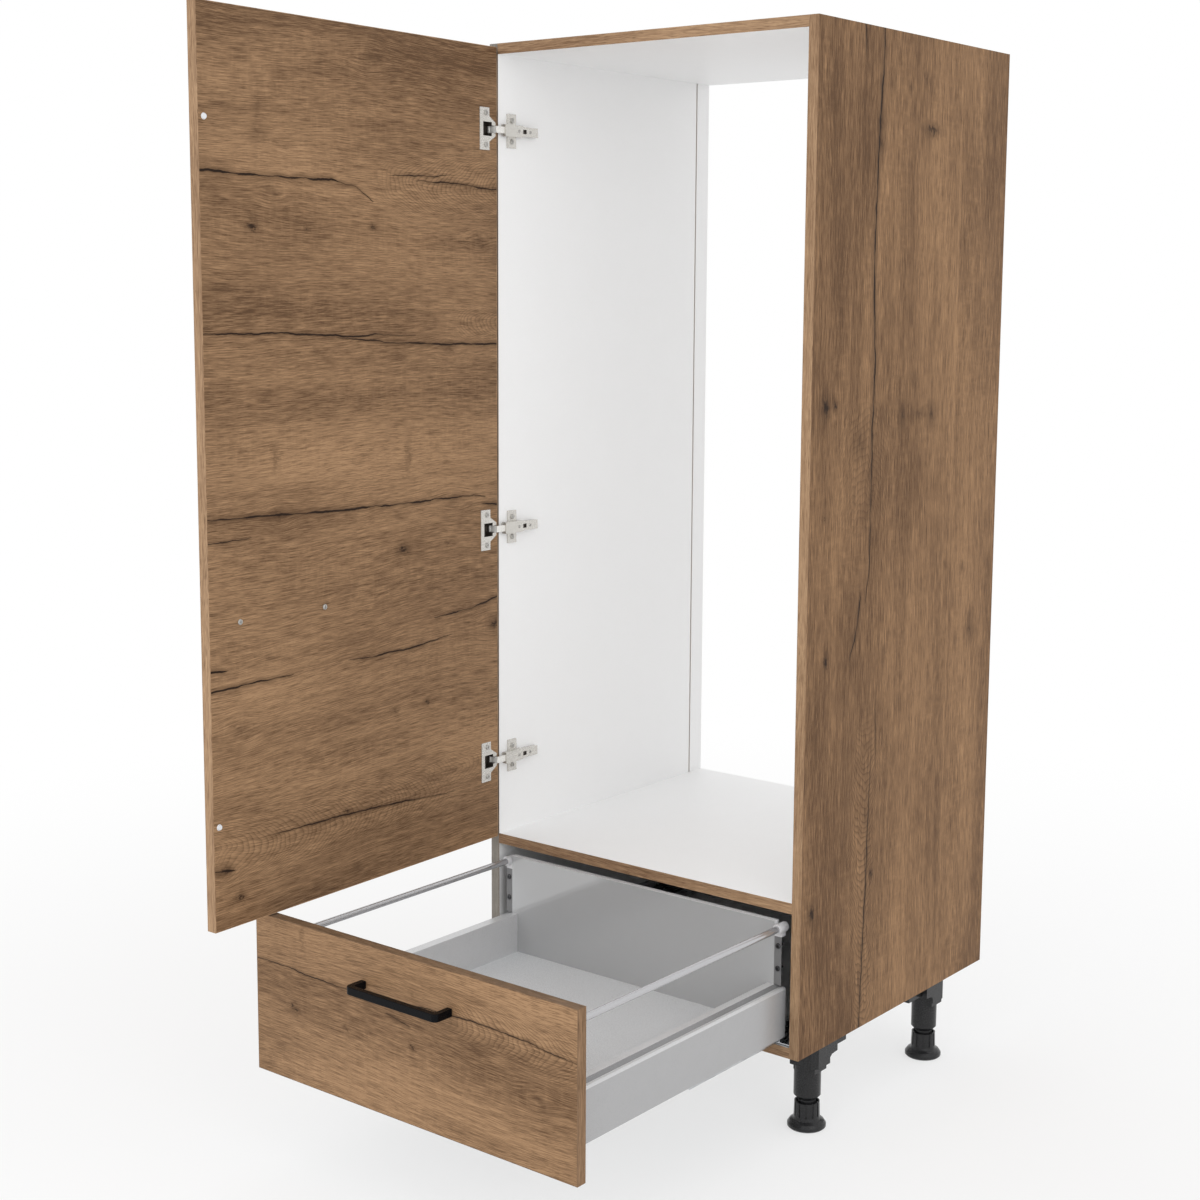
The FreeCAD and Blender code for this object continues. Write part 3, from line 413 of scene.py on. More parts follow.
class OakBow(Effect):
    """Bows the grain round a large knot."""

    name = "oak_bow"
    inputs = sockets(Kind.VECTOR, "Bowed", "Centre", "Reach")
    outputs = sockets(Kind.VECTOR, "Bowed")
    core, pull = 0.1, -0.5

    def lay(self, graph: Graph, given: dict[str, Socket]) -> dict[str, Socket]:
        """Lays the pull towards the knot, which makes the lines swing out round it.

        Args:
            graph: The group's graph.
            given: The group's inputs by name.

        Returns:
            The sockets that feed the group's outputs, by name.
        """
        offset = graph.vector("SUBTRACT", given["Bowed"], given["Centre"])
        radius = graph.length("LENGTH", graph.vector("DIVIDE", offset, given["Reach"]))
        pull = graph.ease(radius, 1.0, self.core, 0.0, self.pull)
        aside = graph.vector("MULTIPLY", offset, (0.0, 1.0, 0.0))
        return {"Bowed": graph.vector("ADD", given["Bowed"], graph.scaled(aside, pull))}


class OakKnot(Effect):
    """The darkness of one knot, kept where it is more than that of the knots before."""

    name = "oak_knot"
    inputs = {**sockets(Kind.VECTOR, "Knot Spot", "Centre"), **sockets(Kind.FLOAT, "Dark", "Fall", "Depth")}
    outputs = sockets(Kind.FLOAT, "Dark")

    def lay(self, graph: Graph, given: dict[str, Socket]) -> dict[str, Socket]:
        """Lays a cone of darkness that falls off from the knot's centre.

        Args:
            graph: The group's graph.
            given: The group's inputs by name.

        Returns:
            The sockets that feed the group's outputs, by name.
        """
        away = graph.length("DISTANCE", given["Knot Spot"], given["Centre"])
        dark = graph.math("MULTIPLY_ADD", away, given["Fall"], given["Depth"])
        return {"Dark": graph.math("MAXIMUM", given["Dark"], dark)}


class OakSplit(Effect):
    """How far the nearest split is, in widths of that split."""

    name = "oak_split"
    inputs = sockets(Kind.FLOAT, "Split Across", "Line", "Low", "Width", "Nearest")
    outputs = sockets(Kind.FLOAT, "Nearest")
    line_range = 0.1
    width_range = 0.004
    least_width = 0.00001

    def lay(self, graph: Graph, given: dict[str, Socket]) -> dict[str, Socket]:
        """Lays the distance to the split's line, divided by its width there.

        Args:
            graph: The group's graph.
            given: The group's inputs by name.

        Returns:
            The sockets that feed the group's outputs, by name.
        """
        aside = graph.math("MULTIPLY_ADD", given["Line"], -self.line_range, given["Split Across"])
        aside = graph.math("ABSOLUTE", graph.math("SUBTRACT", aside, given["Low"]))
        width = graph.math("MULTIPLY_ADD", given["Width"], self.width_range, self.least_width)
        return {"Nearest": graph.math("MINIMUM", given["Nearest"], graph.math("DIVIDE", aside, width))}


class OakFigure(Effect):
    """Cathedral figure: a row of nested arcs along the grain, open towards one end."""

    name = "oak_figure"
    inputs = {
        **sockets(Kind.VECTOR, "Grain", "Rate", "Shift"),
        **sockets(Kind.FLOAT, "Wave", "Rings", "Bend", "Count", "Strength"),
    }
    outputs = sockets(Kind.FLOAT, "Rings")
    waviness = 3.0
    sharpness = 3.0
    arc_edge = 0.86
    side_fade = 0.1
    end_fade = (0.52, 0.30)

    def lay(self, graph: Graph, given: dict[str, Socket]) -> dict[str, Socket]:
        """Lays the arcs and the soft border that ends them.

        Args:
            graph: The group's graph.
            given: The group's inputs by name.

        Returns:
            The sockets that feed the group's outputs, by name.
        """
        shape = graph.vector("MULTIPLY_ADD", given["Grain"], given["Rate"], given["Shift"])
        along, across, _ = graph.parts(shape)
        bowl = graph.math("MULTIPLY", across, across)
        phase = graph.math("MULTIPLY_ADD", bowl, given["Bend"], along)
        wave = graph.math("MULTIPLY", given["Wave"], self.waviness)
        turn = graph.math("FRACT", graph.math("MULTIPLY_ADD", phase, given["Count"], wave))
        rise = graph.math("POWER", turn, self.sharpness)
        ring = graph.math("MULTIPLY", rise, graph.ease(turn, 1.0, self.arc_edge))
        ring = graph.math("MULTIPLY", ring, graph.ease(bowl, 1.0, self.side_fade))
        middle = graph.math("ABSOLUTE", graph.math("SUBTRACT", along, 0.5))
        ring = graph.math("MULTIPLY", ring, graph.ease(middle, *self.end_fade))
        ring = graph.math("MULTIPLY", ring, given["Strength"], clamp=True)
        return {"Rings": graph.math("MAXIMUM", given["Rings"], ring)}


class OakGrain(Effect):
    """The board's own grain: broad bands, fine fibres, pores and ray flecks."""

    name = "oak_grain"
    inputs = sockets(Kind.VECTOR, "Grain")
    outputs = sockets(Kind.FLOAT, "Tone", "Fibre", "Pore", "Fleck", "Wave")
    band, band_gain = Noise((2.2, 10.0), 3.0, 0.55), 0.75
    streak, streak_gain = Noise((2.4, 110.0), 3.0, 0.62), 0.45
    fibre = Noise((27.0, 680.0), 3.0, 0.72)
    dash = Noise((56.0, 1000.0))
    crowd, crowd_gain = Noise((4.0, 24.0)), -0.34
    pore_bar, pore_edge = 0.80, 0.12
    ray, ray_span = Noise((120.0, 34.0), 1.0, 0.55), (0.50, 0.68)
    patch, patch_span = Noise((3.5, 14.0), 0.0), (0.48, 0.66)
    wave = Noise((16.0, 40.0), 1.0, 0.55)

    def lay(self, graph: Graph, given: dict[str, Socket]) -> dict[str, Socket]:
        """Lays the layers at their own scales.

        Args:
            graph: The group's graph.
            given: The group's inputs by name.

        Returns:
            The sockets that feed the group's outputs, by name.
        """
        spot = given["Grain"]
        band = graph.math("MULTIPLY", graph.noise(spot, self.band), self.band_gain)
        streak = graph.noise(spot, self.streak)
        broad = graph.math("MULTIPLY_ADD", streak, self.streak_gain, band)
        fibre = graph.noise(spot, self.fibre)
        dash = graph.noise(spot, self.dash)
        bar = graph.math("MULTIPLY_ADD", graph.noise(spot, self.crowd), self.crowd_gain, self.pore_bar)
        pore = graph.ease(dash, bar, graph.math("ADD", bar, self.pore_edge))
        ray = graph.noise(spot, self.ray)
        patch = graph.ease(graph.noise(spot, self.patch), *self.patch_span)
        fleck = graph.math("MULTIPLY", graph.ease(ray, *self.ray_span), patch)
        wave = graph.noise(spot, self.wave)
        return {"Tone": broad, "Fibre": fibre, "Pore": pore, "Fleck": fleck, "Wave": wave}


class OakTint(Effect):
    """Turns the layers of oak into a colour, a roughness and a surface height."""

    name = "oak_tint"
    inputs = {
        **sockets(Kind.FLOAT, "Tone", "Band", "Fibre", "Pore", "Fleck", "Rings", "Dark", "Nearest", "Open"),
        **sockets(Kind.COLOR, "Light Wood", "Deep Wood", "Knot Wood", "Gap"),
    }
    outputs = {**sockets(Kind.COLOR, "Color"), **sockets(Kind.FLOAT, "Roughness", "Height")}
    fibre_gain = 1.6
    middle = 1.4
    contrast = 1.3
    fleck_gain = 0.07
    ring_wear = (0.25, 0.65, 1.0, 0.6)
    pore_gain = 0.42
    split_rag = (0.30, 0.62, -0.35, 0.40)
    split_edge = 0.7
    split_halo = (-5.0, 1.0, 0.0, 0.5)
    knot_power = 1.2
    knot_core = (0.58, 0.9, 0.0, 0.9)
    rough, fibre_rough, pore_rough = 0.44, 0.16, 0.10
    fibre_height, pore_height, split_height = 0.7, -0.6, -1.6

    def lay(self, graph: Graph, given: dict[str, Socket]) -> dict[str, Socket]:
        """Lays the colour from the broad bands to the splits, then the roughness and the relief.

        Args:
            graph: The group's graph.
            given: The group's inputs by name.

        Returns:
            The sockets that feed the group's outputs, by name.
        """
        fibre, pore, dark = given["Fibre"], given["Pore"], given["Dark"]
        knot, gap = given["Knot Wood"], given["Gap"]
        share = graph.math("MULTIPLY_ADD", fibre, self.fibre_gain, given["Tone"])
        share = graph.math("SUBTRACT", share, self.middle)
        share = graph.math("MULTIPLY_ADD", share, self.contrast, given["Band"])
        share = graph.math("MULTIPLY_ADD", given["Fleck"], self.fleck_gain, share, clamp=True)
        wood = graph.blend(share, given["Deep Wood"], given["Light Wood"])
        worn = graph.math("MULTIPLY", given["Rings"], graph.ease(fibre, *self.ring_wear))
        wood = graph.blend(worn, wood, knot)
        wood = graph.blend(graph.math("MULTIPLY", pore, self.pore_gain), wood, knot)
        near = graph.math("SUBTRACT", 1.0, given["Nearest"])
        ragged = graph.math("ADD", near, graph.ease(given["Open"], *self.split_rag))
        split = graph.ease(ragged, 0.0, self.split_edge)
        wood = graph.blend(graph.ease(near, *self.split_halo), wood, knot)
        wood = graph.blend(graph.math("POWER", dark, self.knot_power), wood, knot)
        wood = graph.blend(graph.ease(dark, *self.knot_core), wood, gap)
        wood = graph.blend(split, wood, gap)
        rough = graph.math("MULTIPLY_ADD", fibre, self.fibre_rough, self.rough)
        rough = graph.math("MULTIPLY_ADD", pore, self.pore_rough, rough)
        height = graph.math("MULTIPLY", fibre, self.fibre_height)
        height = graph.math("MULTIPLY_ADD", pore, self.pore_height, height)
        height = graph.math("MULTIPLY_ADD", split, self.split_height, height)
        return {"Color": wood, "Roughness": rough, "Height": height}


class Mottle(Effect):
    """A fine, even mottle for lacquer, melamine, plastic and plated steel."""

    name = "mottle"
    inputs = {**sockets(Kind.VECTOR, "Vector"), **sockets(Kind.FLOAT, "Grain Size")}
    outputs = sockets(Kind.FLOAT, "Fine", "Broad")
    fine = Noise((1.0, 1.0, 1.0), 2.0, 0.55)
    broad = Noise((0.025, 0.025, 0.025), 2.0)

    def lay(self, graph: Graph, given: dict[str, Socket]) -> dict[str, Socket]:
        """Lays fine noise at the grain size and broad noise at forty times that.

        Args:
            graph: The group's graph.
            given: The group's inputs by name.

        Returns:
            The sockets that feed the group's outputs, by name.
        """
        spot = graph.scaled(given["Vector"], graph.math("DIVIDE", 1.0, given["Grain Size"]))
        return {"Fine": graph.noise(spot, self.fine), "Broad": graph.noise(spot, self.broad)}


class Strokes(Effect):
    """Fine parallel strokes, as on rolled or brushed metal."""

    name = "strokes"
    inputs = sockets(Kind.VECTOR, "Vector", "Stretch")
    outputs = sockets(Kind.FLOAT, "Stroke")
    stroke = Noise((1.0, 1.0, 1.0), 3.0, 0.6)

    def lay(self, graph: Graph, given: dict[str, Socket]) -> dict[str, Socket]:
        """Lays noise that is drawn out along one axis.

        Args:
            graph: The group's graph.
            given: The group's inputs by name.

        Returns:
            The sockets that feed the group's outputs, by name.
        """
        spot = graph.vector("MULTIPLY", given["Vector"], given["Stretch"])
        return {"Stroke": graph.noise(spot, self.stroke)}


def bare_material(name: str) -> tuple[bpy.types.Material, Graph]:
    """Makes a material without nodes.

    Args:
        name: The material's name.

    Returns:
        The material and its graph.
    """
    made = bpy.data.materials.new(name)
    made.use_nodes = True
    made.node_tree.nodes.clear()
    return made, Graph(made.node_tree)


def relief(graph: Graph, shader: bpy.types.Node, height: Socket, depth: float, strength: float) -> None:
    """Feeds a height into the shader's normal.

    Args:
        graph: The material's graph.
        shader: Its shader.
        height: The height, in units of depth.
        depth: What one unit of height is worth.
        strength: The bump's strength.
    """
    bump = graph.node("ShaderNodeBump")
    bump.inputs["Strength"].default_value = strength
    bump.inputs["Distance"].default_value = depth
    graph.feed(bump.inputs["Height"], height)
    graph.feed(shader.inputs["Normal"], bump.outputs[0])


class Finish:
    """A surface finish that makes one material."""

    name: str
    _made: dict[str, bpy.types.Material] = {}

    def make(self) -> bpy.types.Material:
        """Builds the finish's material on first use.

        Returns:
            The material.
        """
        if self.name not in Finish._made:
            made, graph = bare_material(self.name)
            shader = graph.node("ShaderNodeBsdfPrincipled")
            graph.surface(shader.outputs[0])
            self.lay(graph, shader)
            Finish._made[self.name] = made
        return Finish._made[self.name]

    def lay(self, graph: Graph, shader: bpy.types.Node) -> None:
        """Lays the finish's nodes round its shader."""
        raise NotImplementedError


class Grain(Enum):
    """The axis along the grain and the one across it, named by the grain's way and the face it lies on."""

    X_ON_FRONT = (0, 2)
    X_ON_TOP = (0, 1)
    Y_ON_SIDE = (1, 2)
    Y_ON_TOP = (1, 0)
    Z_ON_SIDE = (2, 1)
    Z_ON_FRONT = (2, 0)


def flat(point: Point) -> Triple:
    """Turns an (along, across) point in millimetres into a flat vector in metres."""
    return (point[0] / MM, point[1] / MM, 0.0)


@dataclass(frozen=True)
class Split:
    """A split through its points, in (along, across) millimetres, and the share of its width at its ends."""

    points: tuple[Point, ...]
    width: float
    ends: Point = (0.15, 0.15)

    def turned(self, about: float) -> "Split":
        """Gives the split end for end; about is twice the board's middle."""
        path = tuple((about - x, y) for x, y in reversed(self.points))
        return replace(self, points=path, ends=self.ends[::-1])


@dataclass(frozen=True)
class Knot:
    """A knot, in (along, across) millimetres: its half width, its darkness and the reach of bowed grain."""

    at: Point
    size: float
    depth: float
    upright: bool = False
    bow: float = 0.0

    def turned(self, about: float) -> "Knot":
        """Gives the knot end for end; about is twice the board's middle."""
        return replace(self, at=(about - self.at[0], self.at[1]))


@dataclass(frozen=True)
class Figure:
    """Cathedral figure: its start, its length and half width, and how far its arcs lean along the grain."""

    at: Point
    reach: Point
    lean: float
    spacing: float = 9.0
    strength: float = 1.0

    def turned(self, about: float) -> "Figure":
        """Gives the figure end for end; about is twice the board's middle."""
        return replace(self, at=(about - self.at[0] - self.reach[0], self.at[1]), lean=-self.lean)


@dataclass(frozen=True)
class Layout:
    """What lies on one face of a board, which spans so many millimetres along and across the grain."""

    along: Point
    across: Point
    splits: tuple[Split, ...] = ()
    knots: tuple[Knot, ...] = ()
    figures: tuple[Figure, ...] = ()
    bands: tuple[Point, ...] = ()

    def turned(self) -> "Layout":
        """Turns the layout end for end along the grain.

        Returns:
            The turned layout.
        """
        about = sum(self.along)
        features = {
            key: tuple(item.turned(about) for item in getattr(self, key)) for key in ("splits", "knots", "figures")
        }
        return replace(self, **features)


def share_of(value: float, span: Point) -> float:
    """Gives where a length lies in a span, from 0 to 1."""
    return min(1.0, max(0.0, (value - span[0]) / (span[1] - span[0])))


def place_in(graph: Graph, value: Socket, span: Point) -> Socket:
    """Maps a place in metres to 0 to 1 over a span in millimetres."""
    length = (span[1] - span[0]) / MM
    return graph.math("MULTIPLY_ADD", value, 1.0 / length, -span[0] / MM / length)


def runs(graph: Graph, value: Socket, points: list[Point]) -> Socket:
    """Adds a Float Curve of straight runs.

    Args:
        graph: The material's graph.
        value: Where to read the curve, from 0 to 1.
        points: The curve's points in rising order.

    Returns:
        The curve's value there.
    """
    made = graph.node("ShaderNodeFloatCurve")
    graph.feed(made.inputs["Value"], value)
    made.mapping.extend = "HORIZONTAL"
    line = made.mapping.curves[0]
    line.points[0].location = points[0]
    line.points[1].location = points[-1]
    for point in points[1:-1]:
        line.points.new(*point)
    for point in line.points:
        point.handle_type = "VECTOR"
    made.mapping.update()
    return made.outputs[0]


@dataclass(frozen=True)
class OakDecor(Finish):
    """Oak decor on one face of one board."""

    name: str
    grain: Grain
    seed: float
    layout: Layout
    light: Color = tone(171, 136, 102)
    deep: Color = tone(95, 70, 49)
    knot_wood: Color = tone(78, 56, 38)
    gap: Color = tone(40, 27, 18)
    specular: float = 0.12
    relief_depth: float = 0.00016
    relief_strength: float = 0.6
    seed_skew: float = 0.37
    band_middle: float = 0.5
    far_from_split: float = 60.0
    split_spread: float = 1.25
    split_lead: float = 0.3
    curve_step: float = 0.005
    knot_aspect: float = 1.6
    knot_halo: float = 1.35
    upright_aspect: float = 0.3

    def lay_splits(self, graph: Graph, along: Socket, flow: bpy.types.Node) -> Feed:
        """Lays all splits.

        Args:
            graph: The material's graph.
            along: The place along the grain.
            flow: The board's grain flow.

        Returns:
            How far the nearest split is.
        """
        nearest: Feed = self.far_from_split
        place = place_in(graph, along, self.layout.along)
        reach = OakSplit.line_range * MM
        for split in self.layout.splits:
            low = split.points[0][1] - reach / 2.0
            line = [(share_of(x, self.layout.along), (y - low) / reach) for x, y in split.points]
            nearest = graph.place(
                OakSplit(),
                Split_Across=flow.outputs["Split Across"],
                Line=runs(graph, place, line),
                Low=low / MM,
                Width=runs(graph, place, self.widths(split, line[0][0], line[-1][0])),
                Nearest=nearest,
            ).outputs["Nearest"]
        return nearest

    def widths(self, split: Split, start: float, end: float) -> list[Point]:
        """Finds a split's width along the board, which is none before its start and after its end.

        Args:
            split: The split.
            start: Where it starts along the board, from 0 to 1.
            end: Where it ends.

        Returns:
            The points of the curve of its width.
        """
        full = split.width / (OakSplit.width_range * MM * self.split_spread)
        lead = self.split_lead * (end - start)
        found = [(start, full * split.ends[0]), (start + lead, full), (end - lead, full), (end, full * split.ends[1])]
        if start > self.curve_step:
            found = [(0.0, 0.0), (start - self.curve_step, 0.0), *found]
        if end < 1.0 - self.curve_step:
            found = [*found, (end + self.curve_step, 0.0), (1.0, 0.0)]
        return found

    def lay_knots(self, graph: Graph, flow: bpy.types.Node) -> Feed:
        """Lays all knots.

        Args:
            graph: The material's graph.
            flow: The board's grain flow.

        Returns:
            How dark the knots are.
        """
        dark: Feed = 0.0
        level, raised = (1.0 / self.knot_aspect, 1.0, 0.0), (1.0, self.upright_aspect, 0.0)
        for upright, stretch in ((False, level), (True, raised)):
            chosen = [knot for knot in self.layout.knots if knot.upright is upright]
            if not chosen:
                continue
            spot = graph.vector("MULTIPLY", flow.outputs["Knot Spot"], stretch)
            for knot in chosen:
                dark = graph.place(
                    OakKnot(),
                    Knot_Spot=spot,
                    Dark=dark,
                    Centre=tuple(Vector(flat(knot.at)) * Vector(stretch)),
                    Fall=-MM * knot.depth / (self.knot_halo * knot.size),
                    Depth=knot.depth,
                ).outputs["Dark"]
        return dark

    def lay_bows(self, graph: Graph, spot: Socket) -> Socket:
        """Bows the grain round the large knots.

        Args:
            graph: The material's graph.
            spot: The place along and across the grain.

        Returns:
            The bowed place.
        """
        for knot in self.layout.knots:
            if knot.bow:
                reach = (self.knot_aspect * knot.bow / MM, knot.bow / MM, 1.0)
                spot = graph.place(OakBow(), Bowed=spot, Centre=flat(knot.at), Reach=reach).outputs["Bowed"]
        return spot

    def lay_figures(self, graph: Graph, grain: Socket, wave: Socket, seed: Vector) -> Feed:
        """Lays all cathedral figures.

        Args:
            graph: The material's graph.
            grain: The bent grain.
            wave: What makes the arcs uneven.
            seed: What the grain is shifted by.

        Returns:
            How strong the arcs are.
        """
        rings: Feed = 0.0
        for figure in self.layout.figures:
            length, half_width = figure.reach
            rate = Vector((MM / length, MM / half_width, 0.0))
            rings = graph.place(
                OakFigure(),
                Grain=grain,
                Wave=wave,
                Rings=rings,
                Rate=tuple(rate),
                Shift=tuple(-(Vector(flat(figure.at)) + seed) * rate),
                Bend=-figure.lean / length,
                Count=length / figure.spacing,
                Strength=figure.strength,
            ).outputs["Rings"]
        return rings

    def lay_bands(self, graph: Graph, across: Socket) -> Feed:
        """Lays the board's lighter and deeper bands.

        Args:
            graph: The material's graph.
            across: The place across the grain.

        Returns:
            The level of the bands.
        """
        if not self.layout.bands:
            return self.band_middle
        levels = [(share_of(x, self.layout.across), self.band_middle + y) for x, y in self.layout.bands]
        return runs(graph, place_in(graph, across, self.layout.across), levels)

    def lay(self, graph: Graph, shader: bpy.types.Node) -> None:
        """Lays the board's grain, then its knots, figures and splits.

        Args:
            graph: The material's graph.
            shader: Its shader.
        """
        axes = graph.parts(graph.here())
        along, across = (axes[index] for index in self.grain.value)
        spot = graph.combine(along, across, 0.0)
        seed = Vector((self.seed, self.seed_skew * self.seed, 0.0))
        flow = graph.place(GrainFlow(), Spot=spot, Bowed=self.lay_bows(graph, spot), Seed=tuple(seed))
        grain = flow.outputs["Grain"]
        layers = graph.place(OakGrain(), Grain=grain).outputs
        rings = self.lay_figures(graph, grain, layers["Wave"], seed)
        nearest = self.lay_splits(graph, along, flow)
        tint = graph.place(
            OakTint(),
            **{layer: layers[layer] for layer in ("Tone", "Fibre", "Pore", "Fleck")},
            Band=self.lay_bands(graph, across),
            Rings=rings,
            Dark=self.lay_knots(graph, flow),
            Nearest=nearest,
            Open=flow.outputs["Open"],
            Light_Wood=self.light,
            Deep_Wood=self.deep,
            Knot_Wood=self.knot_wood,
            Gap=self.gap,
        ).outputs
        graph.feed(shader.inputs["Base Color"], tint["Color"])
        graph.feed(shader.inputs["Roughness"], tint["Roughness"])
        shader.inputs["Specular IOR Level"].default_value = self.specular
        relief(graph, shader, tint["Height"], self.relief_depth, self.relief_strength)


@dataclass(frozen=True)
class MottledFinish(Finish):
    """A plain colour with a fine mottle in tone, gloss and surface."""

    name: str
    colour: Color
    second: Color
    grain_size: float
    rough: Point
    metal: float = 0.0
    specular: float = 0.5
    depth: float = 0.00002
    contrast: Point = (0.35, 0.65)
    cloud: float = 0.12
    relief_strength: float = 0.5

    def lay(self, graph: Graph, shader: bpy.types.Node) -> None:
        """Lays the mottle and sets what is the same all over.

        Args:
            graph: The material's graph.
            shader: Its shader.
        """
        spots = graph.place(Mottle(), Vector=graph.here(), Grain_Size=self.grain_size).outputs
        fine = graph.math("MULTIPLY", spots["Fine"], 1.0 - self.cloud)
        both = graph.math("MULTIPLY_ADD", spots["Broad"], self.cloud, fine)
        share = graph.ease(both, *self.contrast)
        graph.feed(shader.inputs["Base Color"], graph.blend(share, self.colour, self.second))
        graph.feed(shader.inputs["Roughness"], graph.ease(both, *NOISE_SPAN, *self.rough))
        shader.inputs["Metallic"].default_value = self.metal
        shader.inputs["Specular IOR Level"].default_value = self.specular
        relief(graph, shader, spots["Fine"], self.depth, self.relief_strength)


@dataclass(frozen=True)
class StrokedMetal(Finish):
    """Metal with fine strokes along one axis."""

    name: str
    colour: Color
    second: Color
    stretch: Triple
    rough: Point = (0.22, 0.42)
    metal: float = 1.0
    depth: float = 0.00001
    relief_strength: float = 0.4

    def lay(self, graph: Graph, shader: bpy.types.Node) -> None:
        """Lays the strokes and sets what is the same all over.

        Args:
            graph: The material's graph.
            shader: Its shader.
        """
        lines = graph.place(Strokes(), Vector=graph.here(), Stretch=self.stretch).outputs["Stroke"]
        share = graph.ease(lines, *NOISE_SPAN)
        graph.feed(shader.inputs["Base Color"], graph.blend(share, self.colour, self.second))
        graph.feed(shader.inputs["Roughness"], graph.ease(lines, *NOISE_SPAN, *self.rough))
        shader.inputs["Metallic"].default_value = self.metal
        relief(graph, shader, lines, self.depth, self.relief_strength)


DOOR_SPLITS = (
    Split(((-600, 1393), (-470, 1391), (-361, 1392), (-313, 1385), (-279, 1366)), 2.0, (1.0, 0.3)),
    Split(((-237, 1405), (-149, 1407), (-119, 1410)), 1.2),
    Split(((-186, 1399), (-103, 1399), (-40, 1395), (0, 1394)), 1.5, (0.2, 1.0)),
    Split(((-600, 1181), (-444, 1180), (-373, 1177), (-340, 1173), (-278, 1176), (-192, 1173)), 1.5, (0.8, 0.2)),
    Split(((-353, 1171), (-305, 1170), (-250, 1164), (-147, 1160), (0, 1157)), 1.8, (0.2, 1.0)),
    Split(((-600, 935), (-462, 930), (-325, 926), (-146, 925), (-61, 925), (-35, 920)), 2.0, (0.8, 0.3)),
    Split(((-600, 903), (-523, 904)), 1.3, (1.0, 0.2)),
    Split(((-41, 910), (0, 904)), 1.5, (0.2, 1.0)),
    Split(((-152, 744), (-67, 748), (0, 760)), 1.6, (0.3, 1.0)),
    Split(((-600, 702), (-499, 703), (-449, 704)), 1.5, (1.0, 0.2)),
    Split(((-337, 706), (-275, 704), (-189, 706), (-114, 713)), 1.5),
    Split(((-600, 730), (-571, 727)), 1.8, (1.0, 0.3)),
    Split(((-516, 482), (-441, 479), (-336, 477), (-246, 472), (-143, 464), (-108, 463)), 1.4),
    Split(((-600, 453), (-564, 447)), 2.4, (1.0, 0.3)),
)
DOOR_KNOTS = (
    Knot((-280, 1564), 15, 0.5, bow=45),
    Knot((-341, 1542), 8, 0.45),
    Knot((-496, 1483), 7, 0.5, upright=True),
    Knot((-496, 1447), 14, 0.6),
    Knot((-510, 1323), 11, 0.95),
    Knot((-510, 1334), 7, 0.6),
    Knot((-279, 1329), 6, 0.9),
    Knot((-409, 1322), 5, 0.8),
    Knot((-48, 1316), 9, 0.6, bow=27),
    Knot((-469, 1373), 10, 0.4, bow=30),
    Knot((-118, 1154), 10, 0.7, bow=30),
    Knot((-396, 1154), 6, 0.5),
    Knot((-475, 1010), 7, 0.6, upright=True),
    Knot((-208, 995), 8, 0.6, upright=True),
    Knot((-471, 931), 12, 0.8, bow=36),
    Knot((-111, 921), 12, 0.6, bow=36),
    Knot((-221, 856), 12, 0.95),
    Knot((-122, 856), 6, 0.7),
    Knot((-11, 715), 14, 0.95, bow=42),
    Knot((-54, 1076), 6, 0.5),
    Knot((-550, 641), 13, 0.55, bow=39),
    Knot((-243, 614), 7, 0.7),
    Knot((-171, 616), 6, 0.9),
    Knot((-108, 609), 6, 0.6),
    Knot((-343, 481), 7, 0.85),
    Knot((-326, 394), 10, 0.6),
    Knot((-554, 406), 9, 0.95),
    Knot((-582, 450), 11, 0.8, bow=33),
)
DOOR_FIGURES = (
    Figure((-290, 1397), (420, 62), 210.0, 10.0),
    Figure((-640, 478), (560, 70), -240.0, 10.0),
    Figure((-200, 497), (200, 30), -70.0, 11.0, 0.7),
    Figure((-110, 1187), (160, 36), 70.0),
)
SIDE_SPLITS = (
    Split(
        ((796, 156), (833, 164), (951, 165), (1040, 164), (1134, 168), (1230, 161), (1301, 159), (1370, 161),
         (1497, 166), (1557, 172), (1620, 173)),
        2.4, (0.3, 0.9),
    ),
    Split(((1567, 125), (1620, 121)), 1.6, (0.2, 1.0)),
    Split(((713, 116), (739, 128), (767, 136), (801, 141)), 2.6, (0.5, 0.5)),
    Split(((529, 197), (590, 194), (648, 191)), 1.0),
    Split(((130, 166), (235, 170), (363, 176), (482, 179), (549, 183)), 1.6, (0.8, 0.2)),
)
SIDE_KNOTS = (
    Knot((1483, 168), 16, 0.8, bow=40),
    Knot((1454, 169), 16, 0.75),
    Knot((1537, 169), 11, 0.65),
    Knot((1482, 316), 11, 0.9, upright=True),
    Knot((1538, 249), 6, 0.7),
    Knot((1555, 294), 7, 0.7),
    Knot((1083, 37), 16, 1.0),
    Knot((1084, 61), 8, 0.95),
    Knot((1063, 250), 16, 0.8),
    Knot((1061, 300), 11, 0.7, upright=True),
    Knot((1060, 335), 17, 0.8),
    Knot((717, 51), 10, 1.0),
    Knot((709, 477), 20, 0.75, bow=48),
    Knot((812, 447), 9, 0.6, bow=21),
    Knot((822, 392), 6, 0.55),
    Knot((1116, 281), 9, 0.6),
    Knot((925, 40), 6, 0.8),
    Knot((714, 213), 7, 0.65),
    Knot((1028, 130), 20, 0.6, bow=48),
    Knot((372, 191), 8, 1.0),
    Knot((349, 29), 15, 0.95, bow=36),
    Knot((197, 438), 8, 0.6),
)
SIDE_FIGURES = (
    Figure((40, 172), (620, 96), 330.0, 11.0, 1.3),
    Figure((880, 150), (220, 100), -160.0, 11.0, 0.8),
)
FRONT_SPLITS = (
    Split(
        ((-300, 295), (-238, 296), (-177, 293), (-122, 292), (-20, 296), (81, 303), (135, 304), (192, 302),
         (246, 296), (300, 292)),
        0.9, (1.0, 0.8),
    ),
    Split(((-37, 276), (-18, 273), (6, 268)), 1.6, (0.4, 0.4)),
)
